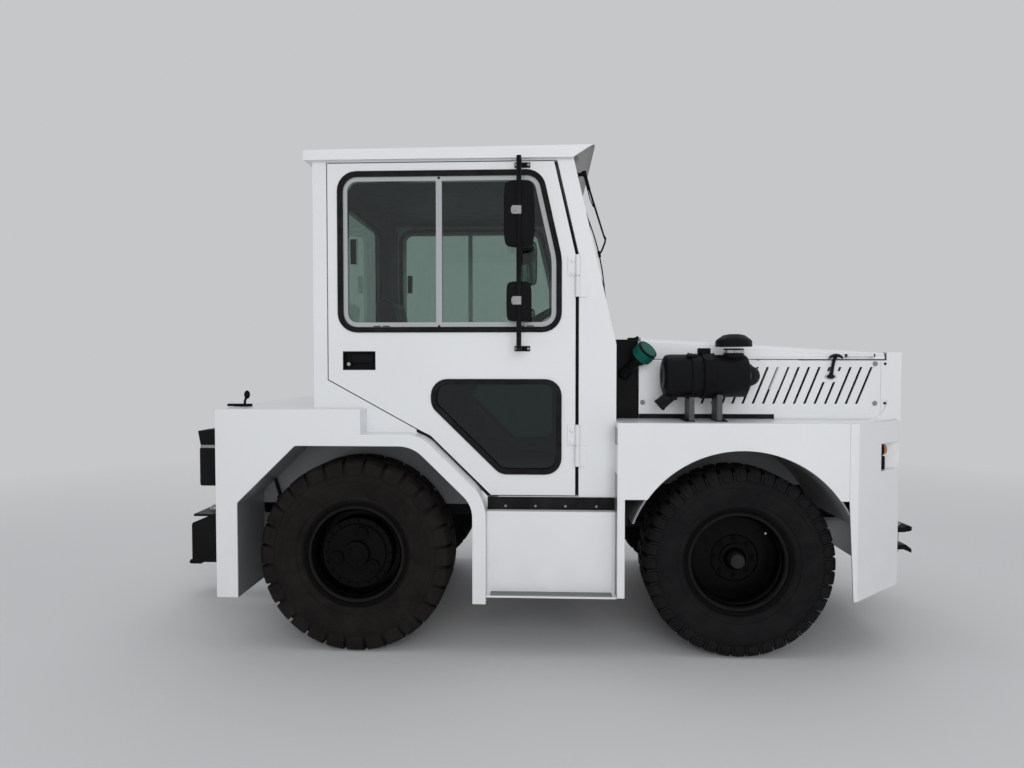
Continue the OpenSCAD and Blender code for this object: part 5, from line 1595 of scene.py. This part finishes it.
    def clamps(self) -> None:
        """The clamps that hold the mirror heads, and the brackets' bolts."""
        x, y = self.mirror_x, self.half_w + self.mirror_reach
        form = Form()
        for left, z in ((x - 0.013, 1.896), (x - 0.011, 1.518)):
            form.box((left - 0.016, y - 0.016, z - 0.018), (x + 0.011, y + 0.013, z + 0.018), 0.003)
            form.box((left - 0.02, y - 0.01, z - 0.012), (left - 0.012, y + 0.01, z + 0.012), 0.002)
            form.bolt((left - 0.006, y + 0.012, z), 0.009, 0.008, ease=0.001)
        for z in self.bracket_z:
            for dx in (-0.014, 0.038):
                form.bolt((x + dx, self.half_w + 0.005, z), 0.006, 0.0062, ease=0.001)
        self.fit(form, "mirror_clamps", STEEL)

    def build(self) -> None:
        """Builds all of the door's fittings."""
        self.latch()
        self.bolts()
        self.window()
        self.mirrors()
        self.clamps()


# Engine bay


@dataclass
class AirCleaner(Group):
    """The air cleaner on the right front deck with its cap, strap, feet and elbow."""

    y: float = -0.66
    z: float = 1.2
    start: float = 0.498
    end: float = 0.855
    radius: float = 0.094
    neck_x: float = 0.804
    cap_fins: int = 18
    strap_lean: float = 15.0
    clip_turns: tuple[float, ...] = (28, 150, 270)
    foot_x: tuple[float, float] = (0.617, 0.735)
    deck_z: float = 1.0055
    hose_r: float = 0.0435
    hose_turn: float = 0.018
    panel_y: float = -0.5503

    @property
    def centre(self) -> tuple[float, float, float]:
        """A place on the drum's axis."""
        return (0.0, self.y, self.z)

    def drum(self) -> None:
        """The drum with its cover, flange and neck, the finned rain cap and the clamp under it."""
        r, a, b = self.radius, self.start, self.end
        profile = [(0.0, a + 0.006), (0.03, a + 0.004), (0.034, a), (0.062, a), (0.066, a + 0.004),
                   (0.08, a + 0.006), (0.089, a + 0.012), (0.0925, a + 0.024), (0.0925, a + 0.112),
                   (0.098, a + 0.116), (0.0985, a + 0.126), (0.096, a + 0.131), (0.096, a + 0.14),
                   (r, a + 0.143), (r, a + 0.162), (0.0915, a + 0.166), (0.0915, a + 0.235),
                   (r - 0.002, a + 0.24), (r - 0.002, b - 0.008), (r - 0.008, b), (0.0, b)]
        form = Form().lathe(profile, self.centre, Axis.X, closed=False)
        neck = (self.neck_x, self.y, self.z)
        form.lathe([(0.0, 0.02), (0.052, 0.02), (0.05, 0.075), (0.0425, 0.098), (0.0425, 0.118),
                    (0.0, 0.118)], neck, Axis.Z, 48, closed=False)
        form.lathe([(0.0915, a + 0.03), (0.0932, a + 0.032), (0.0932, a + 0.106), (0.0915, a + 0.108)],
                   self.centre, Axis.X)
        self.shop.piece(form, "cleaner_drum", CLEANER, replaces=("air_cleaner",))
        cap = Form().lathe([(0.0, 0.128), (0.04, 0.128), (0.0765, 0.126), (0.0775, 0.129), (0.0765, 0.15),
                            (0.07, 0.158), (0.045, 0.176), (0.022, 0.1805), (0.0, 0.181)], neck, Axis.Z, 64,
                           closed=False)
        fin = Form().box((-0.0012, 0.045, 0.129), (0.0012, 0.074, 0.148))
        cap.join(fin.moved(placed(neck)).around(self.cap_fins, neck, Axis.Z))
        self.shop.piece(cap, "rain_cap", CLEANER)
        ring = Form().lathe([(0.0435, 0.098), (0.0445, 0.099), (0.0445, 0.111), (0.0435, 0.112),
                             (0.0425, 0.112), (0.0425, 0.098)], neck, Axis.Z, 48)
        ring.box((-0.012, -0.056, 0.1), (0.006, -0.043, 0.11), 0.002, placed(neck))
        self.shop.piece(ring, "cap_clamp", STEEL)

    def strap(self) -> None:
        """The twelve-sided strap with its top lug and clips, and the feet's plates."""
        form = Form().lathe([(0.09, 0.663), (0.1015, 0.663), (0.1015, 0.668), (0.0995, 0.67),
                             (0.0995, 0.708), (0.1015, 0.71), (0.1015, 0.715), (0.09, 0.715)], axis=Axis.X,
                            steps=12)
        form.moved(placed(self.centre, self.strap_lean, "X"))
        y, z = self.y, self.z
        form.box((0.65, y - 0.012, z + 0.092), (0.704, y + 0.012, z + 0.12), 0.003)
        form.box((0.655, y - 0.017, z + 0.1), (0.664, y - 0.01, z + 0.114), 0.001)
        for turn in self.clip_turns:
            x = self.start + 0.104
            clip = Form().box((x - 0.008, -0.01, 0.0925), (x + 0.036, 0.01, 0.104), 0.003)
            clip.rod((x, -0.013, 0.104), (x, 0.013, 0.104), 0.003, sides=12)
            form.join(clip.moved(placed(self.centre, turn, "X")))
        front, back = self.foot_x
        top = self.deck_z + 0.004
        for x, low, high in ((front - 0.02, front - 0.03, front + 0.013),
                             (back + 0.02, back - 0.013, back + 0.033)):
            form.box((low, y - 0.056, self.deck_z), (high, y + 0.056, top), 0.001)
            for dy in (-0.04, 0.04):
                form.rod((x, y + dy, top), (x, y + dy, top + 0.007), 0.0065, 6, 0.0008)
        self.shop.piece(form, "cleaner_strap", BLACK, smooth=25.0, replaces=("air_cleaner_mount",))

    def legs(self) -> None:
        """The feet's thin uprights, each folded from one sheet."""
        form = Form()
        y, low, high = self.y, self.deck_z + 0.003, self.z - 0.08
        for x in self.foot_x:
            for dx in (-0.011, 0.008):
                form.box((x + dx, y - 0.052, low), (x + dx + 0.003, y + 0.052, high), 0.0006)
            form.box((x - 0.01, y - 0.0515, low), (x + 0.01, y - 0.049, high))
        self.shop.piece(form, "cleaner_legs", DARK_ZINC)

    def ejector(self) -> None:
        """The flat rubber dust valve at the drum's lower rear end."""
        place = placed((0.548, self.y - 0.004, self.z - 0.072), 48)
        form = Form().box((-0.024, -0.024, -0.078), (0.024, 0.024, 0.01), 0.006, place)
        form.box((-0.027, -0.02, -0.088), (0.027, 0.02, -0.074), 0.004, place)
        form.box((-0.028, -0.028, -0.02), (0.028, 0.028, -0.008), 0.003, place)
        self.shop.piece(form, "dust_valve", HOSE)

    def elbow(self) -> None:
        """The intake hose that turns from the drum's end into the engine bay, and its grommet."""
        r, y, z = self.hose_r, self.y, self.z
        x = self.end + self.hose_turn
        form = Form().rod((self.end + 0.0004, y, z), (x, y, z), r, 48).ball((x, y, z), r, detail=48)
        form.rod((x, y, z), (x, -0.5525, z), r, 48)
        for ring_y in (-0.64, -0.618, -0.596):
            form.lathe([(r - 0.001, -0.004), (r + 0.0012, -0.002), (r + 0.0012, 0.002), (r - 0.001, 0.004)],
                       (x, ring_y, z), steps=48)
        form.lathe([(0.0, 0.0), (0.0, -0.0075), (r + 0.012, -0.0075), (r + 0.0175, -0.004),
                    (r + 0.0175, 0.0)], (x, self.panel_y, z), steps=64, closed=False)
        self.shop.piece(form, "intake_elbow", HOSE, replaces=("air_elbow",))
        clamps = Form()
        for under, at, axis in ((0.001, (self.end + 0.007, y, z), Axis.X), (0.0005, (x, -0.575, z), Axis.Y)):
            low, high = r + under, r + under + 0.002
            clamps.lathe([(low, -0.005), (high, -0.005), (high, 0.005), (low, 0.005)], at, axis, 48)
        self.shop.piece(clamps, "elbow_clamps", STEEL)

    def build(self) -> None:
        """Builds the whole air cleaner."""
        self.drum()
        self.strap()
        self.legs()
        self.ejector()
        self.elbow()


@dataclass
class HoodFittings(Group):
    """Latches, fasteners, the filler cap and a black sheet of painted shade in the gap under the side panels.
    """

    half_w: float = 0.55
    filler_foot: tuple[float, float, float] = (0.347, -0.535, 1.208)
    filler_turn: tuple[float, float] = (50.0, -42.0)
    cap_ribs: int = 22
    latch_foot: tuple[float, float] = (1.2605, 1.195)
    fastener_at: Outline = ((0.43, 1.078), (1.456, 1.252), (1.456, 1.076))
    bolt_at: Outline = ((1.4985, 1.252), (1.4985, 1.077))
    gap_x: tuple[float, float, float] = (0.4125, 1.014, 1.443)

    def latches(self) -> None:
        """A rubber T-handle whose strap runs down to an oval foot on each side."""
        y = self.half_w
        x, z = self.latch_foot
        form = Form().tube([(x, y + 0.0085, 1.198), (1.266, y + 0.009, 1.235), (1.272, y + 0.011, 1.268),
                            (1.277, y + 0.014, 1.284)], lambda t: 0.0085 - 0.002 * math.sin(t * math.pi), 16)
        form.tube([(1.248, y + 0.015, 1.2755), (1.255, y + 0.0155, 1.2835), (1.266, y + 0.016, 1.2885),
                   (1.278, y + 0.016, 1.29), (1.29, y + 0.016, 1.2885), (1.301, y + 0.0155, 1.2835),
                   (1.308, y + 0.015, 1.2755)], lambda t: 0.0035 + 0.004 * math.sin(t * math.pi), 16)
        form.ball((x, y + 0.004, z), 0.0125, (1.5, 0.5, 0.8))
        self.shop.piece(form.both(), "latch_straps", SEAL, replaces=("hood_latches",))
        foot = Form().lathe([(0.0135, 0.0), (0.0205, 0.0), (0.0205, 0.0025), (0.018, 0.005), (0.0145, 0.005),
                             (0.0135, 0.004)], steps=40)
        bmesh.ops.scale(foot.bm, vec=(1.25, 1, 0.68), verts=list(foot.bm.verts))
        foot.moved(placed((x, y + 0.0004, z)))
        self.shop.piece(foot.both(), "latch_feet", ALLOY)

    def fasteners(self) -> None:
        """Quarter-turn fasteners with a slotted head, and the mask's black bolts."""
        y = self.half_w
        turn = Form()
        for x, z in self.fastener_at:
            turn.lathe([(0.0, 0.003), (0.0045, 0.003), (0.005, 0.0022), (0.0085, 0.0032), (0.0105, 0.0028),
                        (0.0115, 0.0005), (0.0, 0.0)], (x, y, z), steps=32, closed=False)
            turn.box((x - 0.0045, y + 0.0028, z - 0.0009), (x + 0.0045, y + 0.0036, z + 0.0009))
        self.shop.piece(turn.both(), "panel_fasteners", GREY_METAL)
        bolts = Form()
        for x, z in self.bolt_at:
            bolts.bolt((x, y, z), 0.004, 0.0062, ease=0.0008)
        self.shop.piece(bolts.both(), "mask_bolts", BLACK)

    def gap(self) -> None:
        """A black sheet of painted shade in the slot under the side panels, and the folded white strip ahead
        of it.
        """
        y = self.half_w
        start, fold_x, end = self.gap_x
        # painted shade: a black rubber sheet stands for the shade in the slot
        dark = Form().box((start, y - 0.002, 1.0055), (fold_x, y + 0.0012, 1.0265))
        self.shop.piece(dark.both(), "panel_gap_shade", SEAL)
        fold = Form().box((fold_x, y - 0.001, 1.0055), (end, y + 0.003, 1.0275), 0.001)
        self.shop.piece(fold.both(), "panel_folds", WHITE)

    def grips(self) -> None:
        """Black sleeves over the hood's grab bars."""
        y, z = self.half_w + 0.02, 1.289
        form = Form().tube([(1.3185, y, z), (1.326, y, z), (1.38, y, z - 0.0005), (1.436, y, z),
                            (1.4435, y, z)], lambda t: 0.0072 - 0.0022 * math.sin(t * math.pi), 20)
        for x in (1.329, 1.44):
            form.box((x - 0.006, self.half_w - 0.001, z - 0.0065), (x + 0.006, y, z + 0.0065), 0.002)
        self.shop.piece(form.both(), "grab_sleeves", SEAL, "hood")

    def filler(self) -> None:
        """The ribbed teal cap on the tank's filler neck, with its collar."""
        tilt, turn = self.filler_turn
        place = placed(self.filler_foot, turn, "Z") @ placed((0, 0, 0), tilt)
        cap = Form().lathe([(0.0, 0.1185), (0.047, 0.1185), (0.0478, 0.1205), (0.0478, 0.124),
                            (0.0465, 0.1255), (0.0465, 0.159), (0.044, 0.166), (0.038, 0.1712),
                            (0.02, 0.1716), (0.0, 0.1716)], axis=Axis.Z, steps=64, closed=False)
        rib = Form().box((-0.003, 0.0455, 0.127), (0.003, 0.049, 0.16), 0.0012)
        cap.join(rib.around(self.cap_ribs, (0, 0, 0), Axis.Z))
        self.shop.piece(cap.moved(place), "filler_cap", TEAL)
        collar = Form().lathe([(0.0252, 0.094), (0.033, 0.094), (0.0345, 0.097), (0.0345, 0.1175),
                               (0.0252, 0.1175)], axis=Axis.Z, steps=48)
        self.shop.piece(collar.moved(place), "filler_collar", BLACK)

    def build(self) -> None:
        """Builds everything on the hood's sides."""
        self.filler()
        self.latches()
        self.fasteners()
        self.gap()
        self.grips()


# Lamps and couplings


@dataclass
class Lamps(Group):
    """Headlamps, indicators and tail lamps on both sides."""

    face_x: float = 1.57
    head_y: float = 0.465
    head_z: float = 0.8475
    side: tuple[float, float, float] = (1.405, 0.585, 0.8755)
    tail_x: float = -1.425
    tail_y: tuple[float, float] = (0.612, 0.708)
    lens_depth: tuple[float, float] = (0.1165, 0.112)

    def front(self) -> None:
        """Round headlamps through the mask's face, and amber indicators in the corner pockets."""
        x, y, z = self.face_x, self.head_y, self.head_z
        shell = Form().lathe([(0.02, -0.095), (0.03, -0.095), (0.031, -0.062), (0.0545, -0.06),
                              (0.0547, 0.0005), (0.0605, 0.0005), (0.0605, 0.005), (0.056, 0.008),
                              (0.051, 0.006), (0.047, -0.004), (0.044, -0.03), (0.02, -0.06)], (x, y, z),
                             Axis.X, 56)
        ix, iy, iz = self.side
        shell.lathe([(0.0, 0.0), (0.018, 0.0), (0.018, 0.052), (0.026, 0.058), (0.0265, 0.068), (0.0, 0.068)],
                    (ix, iy, iz), Axis.X, 36, closed=False)
        shell.box((ix, iy - 0.02, 0.7885), (ix + 0.075, iy + 0.02, 0.848), 0.003)
        self.shop.piece(shell.both(), "lamp_shells", PLASTIC, replaces=("front_lamps",))
        lens = Form().lathe([(0.0, 0.004), (0.02, 0.003), (0.036, 0.0), (0.0465, -0.005), (0.0, -0.012)],
                            (x, y, z), Axis.X, 56, closed=False)
        self.shop.piece(lens.both(), "headlamp_lenses", LAMP_GLASS)
        amber = Form().lathe([(0.0, 0.088), (0.012, 0.0865), (0.021, 0.082), (0.0255, 0.074),
                              (0.0262, 0.0675), (0.0, 0.0675)], (ix, iy, iz), Axis.X, 36, closed=False)
        self.shop.piece(amber.both(), "indicator_lenses", AMBER)

    def rear(self) -> None:
        """Boxes with a hood, a pale strip and red and amber lenses behind."""
        (y0, y1), x = self.tail_y, self.tail_x
        form = Form().prism([(x, 0.712), (x, 0.88), (x - 0.113, 0.88), (x - 0.113, 0.718),
                             (x - 0.108, 0.712)], y0, y1, ease=0.004)
        form.prism([(x, 0.894), (x, 0.97), (x - 0.119, 0.956), (x - 0.108, 0.894)], y0 - 0.002, y1 + 0.002,
                   ease=0.003)
        self.shop.piece(form.both(), "tail_boxes", PLASTIC, replaces=("tail_lamps",))
        strip = Form().box((x - 0.11, y0 + 0.001, 0.88), (x, y1 - 0.001, 0.894), 0.002)
        self.shop.piece(strip.both(), "tail_strips", GREY_METAL)
        back, front = (x - depth for depth in self.lens_depth)
        for name, finish, low in (("tail_lenses", RED_LENS, 0.8), ("turn_lenses", AMBER, 0.722)):
            lens = Form().box((back, y0 + 0.008, low), (front, y1 - 0.008, low + 0.072), 0.003)
            self.shop.piece(lens.both(), name, finish)

    def build(self) -> None:
        """Builds all lamps."""
        self.front()
        self.rear()


@dataclass
class Fittings(Group):
    """Small parts: sill bolts, step treads, release lever and the struts in the rear wheel arches."""

    sill_bolts: tuple[float, ...] = (-0.182, -0.052, 0.078, 0.212)
    ribs: int = 10
    rib_pitch: float = 0.0045

    def sills(self) -> None:
        """Bolts along the black sill strips."""
        form = Form()
        for x in self.sill_bolts:
            form.bolt((x, 0.699, 0.633), 0.0032, 0.0062, ease=0.0008)
        self.shop.piece(form.both(), "sill_bolts", GREY_METAL)

    def step(self) -> None:
        """A ribbed alloy tread on each step's edge, in a darker grey that is partly a painted reflection of
        the dark it mirrors.
        """
        # partly painted reflection: the alloy treads take the darker zinc grey for the dark that they mirror
        form = Form().box((-0.244, 0.742, 0.2672), (0.274, 0.79, 0.2705), 0.0006)
        for i in range(self.ribs):
            y = 0.745 + i * self.rib_pitch
            form.box((-0.242, y, 0.27), (0.272, y + 0.0022, 0.2716))
        form.box((-0.244, 0.7895, 0.26), (0.274, 0.7915, 0.2712), 0.0006)
        self.shop.piece(form.both(), "step_treads", GREY_METAL)

    def lever(self) -> None:
        """The coupling's release lever on the rear deck."""
        form = Form().box((-1.456, -0.61, 1.0585), (-1.345, -0.588, 1.0705), 0.003)
        form.box((-1.4, -0.618, 1.0585), (-1.35, -0.58, 1.0635), 0.001)
        form.tube([(-1.378, -0.6, 1.068), (-1.376, -0.6, 1.085), (-1.37, -0.6, 1.1)], 0.0055, 16)
        form.ball((-1.3665, -0.6, 1.1115), 0.0155, (0.85, 0.85, 1.25))
        self.shop.piece(form, "release_handle", BLACK, replaces=("release_lever",))

    def strut(self) -> None:
        """A thin black strut with a ball end in each rear wheel arch."""
        form = Form().tube([(-1.294, 0.503, 0.772), (-1.29, 0.505, 0.76), (-1.262, 0.514, 0.68),
                            (-1.245, 0.52, 0.632)], 0.0075)
        form.ball((-1.243, 0.52, 0.628), 0.018).bolt((-1.243, 0.5, 0.628), 0.02, 0.008, 16)
        self.shop.piece(form.both(), "arch_struts", BLACK)

    def build(self) -> None:
        """Builds the small parts."""
        self.sills()
        self.step()
        self.lever()
        self.strut()


# Studio


@dataclass
class Studio:
    """Camera, floor, world and lamps."""

    eye: tuple[float, float, float] = (-0.02, -3.78, 1.26)
    focal_px: float = 711.0
    shift_px: tuple[float, float] = (31.0, 22.0)
    image_w: float = 1024.0
    sensor_w: float = 36.0
    floor_r: float = 60.0
    sky: float = 0.46
    sky_colour: Colour = (0.95, 0.975, 1.0)
    sky_span: tuple[float, float] = (0.55, 1.35)

    def camera(self) -> None:
        """Sets the camera where the photograph was taken."""
        yaw = math.atan(self.shift_px[0] / self.focal_px)
        pitch = math.atan(self.shift_px[1] / self.focal_px * math.cos(yaw))
        look = Vector((-math.sin(yaw) * math.cos(pitch), math.cos(yaw) * math.cos(pitch), -math.sin(pitch)))
        data = bpy.data.cameras.new("camera")
        data.sensor_width = self.sensor_w
        data.lens = self.focal_px / self.image_w * self.sensor_w
        data.clip_end = 200.0
        camera = bpy.data.objects.new("camera", data)
        camera.location = self.eye
        camera.rotation_euler = look.to_track_quat("-Z", "Y").to_euler()
        bpy.context.scene.collection.objects.link(camera)
        bpy.context.scene.camera = camera

    def world(self) -> None:
        """A soft sky that lights the tug, and a pale backdrop for camera, mirrors and glass."""
        world = bpy.data.worlds.new("studio")
        bpy.context.scene.world = world
        world.use_nodes = True
        tree = world.node_tree
        tree.nodes.clear()
        place = add_node(tree, "ShaderNodeTexCoord", {}).outputs["Generated"]
        up = add_node(tree, "ShaderNodeSeparateXYZ", {0: place}).outputs["Z"]
        low, high = self.sky_span
        rise = add_node(tree, "ShaderNodeMapRange", {"Value": up, "From Min": -0.2, "From Max": 0.9,
                                                     "To Min": low, "To Max": high}).outputs[0]
        light = add_node(tree, "ShaderNodeMath", {0: rise, 1: self.sky}, operation="MULTIPLY").outputs[0]
        sky = add_node(tree, "ShaderNodeBackground", {"Color": (*self.sky_colour, 1.0), "Strength": light})
        wall = add_node(tree, "ShaderNodeBackground", {"Color": (*BACKDROP, 1.0), "Strength": 1.0})
        path = add_node(tree, "ShaderNodeLightPath", {}).outputs
        seen = path["Is Camera Ray"]
        for ray in ("Is Transmission Ray", "Is Glossy Ray"):
            seen = add_node(tree, "ShaderNodeMath", {0: seen, 1: path[ray]}, operation="MAXIMUM").outputs[0]
        blend = add_node(tree, "ShaderNodeMixShader", {0: seen, 1: sky.outputs[0], 2: wall.outputs[0]})
        add_node(tree, "ShaderNodeOutputWorld", {0: blend.outputs[0]})

    def lamp(self, name: str, at: Point, aim: Point, size: float, watts: float) -> None:
        """A large square soft lamp that only lights and isn't seen, in mirrors and glass neither.

        Args:
            name: its name.
            at: where it stands.
            aim: where it points.
            size: the length of its side.
            watts: its power.
        """
        data = bpy.data.lights.new(name, "AREA")
        data.size = size
        data.energy = watts
        obj = bpy.data.objects.new(name, data)
        obj.location = at
        obj.rotation_euler = (Vector(aim) - Vector(at)).to_track_quat("-Z", "Y").to_euler()
        obj.visible_camera = obj.visible_glossy = obj.visible_transmission = False
        bpy.context.scene.collection.objects.link(obj)

    def floor(self) -> None:
        """A wide round floor that belongs to the stage."""
        form = Form()
        bmesh.ops.create_circle(form.bm, cap_ends=True, segments=64, radius=self.floor_r)
        mesh = form.mesh("floor")
        mesh.materials.append(FLOOR.material())
        floor = bpy.data.objects.new("floor", mesh)
        bpy.context.scene.collection.objects.link(floor)

    def build(self) -> None:
        """Builds the studio round the tug."""
        self.camera()
        self.world()
        self.lamp("roof_light", (0.3, 0.0, 6.5), (0, 0, 0.6), 6.0, 55.0)
        self.lamp("right_light", (0.8, -7.2, 2.8), (0, 0, 1.1), 4.5, 190.0)
        self.lamp("left_light", (-0.8, 7.2, 3.0), (0, 0, 1.1), 4.5, 140.0)
        self.floor()
        bpy.context.scene.view_settings.view_transform = "Standard"


@dataclass
class Tug(Group):
    """The whole tug, group by group."""

    rear_axle: tuple[float, float] = (-0.835, 0.42)
    front_axle: tuple[float, float] = (0.815, 0.405)
    ease: float = 0.0025

    def bodywork(self) -> None:
        """Rounded panels, and plain finishes for what lies inside or under them."""
        shop = self.shop
        shop.eased(WHITE, self.ease, "rear_deck", "rear_fenders", "front_decks", "hood", "side_grilles",
                   "steps", "door_hinges")
        shop.eased(WHITE_FENDER, self.ease, "front_fenders", "front_mask")
        shop.eased(WHITE_ROOF, self.ease, "cab_roof")
        shop.eased(WHITE_CAB, self.ease, "cab_shell", "door_left", "door_right")
        shop.dress(WHITE_WELL, "rear_wells")
        # the front wells in a plain darker grey
        shop.dress(INNER_GREY, "front_wells")
        shop.eased(SEAL, 0.003, "sills")
        shop.dress(CHASSIS, "frame", "radiator", "front_axle", "rear_axle", "knuckle_left", "knuckle_right",
                   "tie_rod")
        shop.dress(CAST, "engine")
        shop.eased(BLACK, 0.002, "hydraulic_tank", "front_grille", "rear_coupling", "jaw_plates",
                   "front_coupling")
        shop.dress(STEEL, "coupling_pins")

    def wheels(self) -> None:
        """Four tyres and four rims."""
        for side in Side:
            rear = (self.shop, side, f"tyre_rear_{side.value}", self.rear_axle)
            Tyre(*rear, name=f"tyre_tread_rear_{side.value}", radius=0.42, finish=TYRE_REAR, blocks=28,
                 block_share=0.86, shoulder_in=0.04).build()
            front = (self.shop, side, f"tyre_front_{side.value}", self.front_axle)
            Tyre(*front, name=f"tyre_tread_front_{side.value}", radius=0.405, finish=TYRE_FRONT, blocks=40,
                 block_share=0.78, shoulder_in=0.036, ribs=80).build()
            FrontRim(self.shop, side, f"rim_front_{side.value}", self.front_axle).build()
            RearRim(self.shop, side, f"rim_rear_{side.value}", self.rear_axle).build()

    def build(self) -> None:
        """Builds the tug's groups in order."""
        self.bodywork()
        self.wheels()
        Cab(self.shop).build()
        for side in Side:
            DoorFittings(self.shop, side).build()
        for group in (AirCleaner, HoodFittings, Lamps, Fittings):
            group(self.shop).build()


def main() -> None:
    """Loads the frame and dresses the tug."""
    logging.basicConfig(level=logging.INFO, format="%(name)s: %(message)s")
    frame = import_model()
    Studio().build()
    shop = Workshop(frame)
    Tug(shop).build()
    LOG.info("%d pieces made", shop.count)


if __name__ == "__main__":
    main()
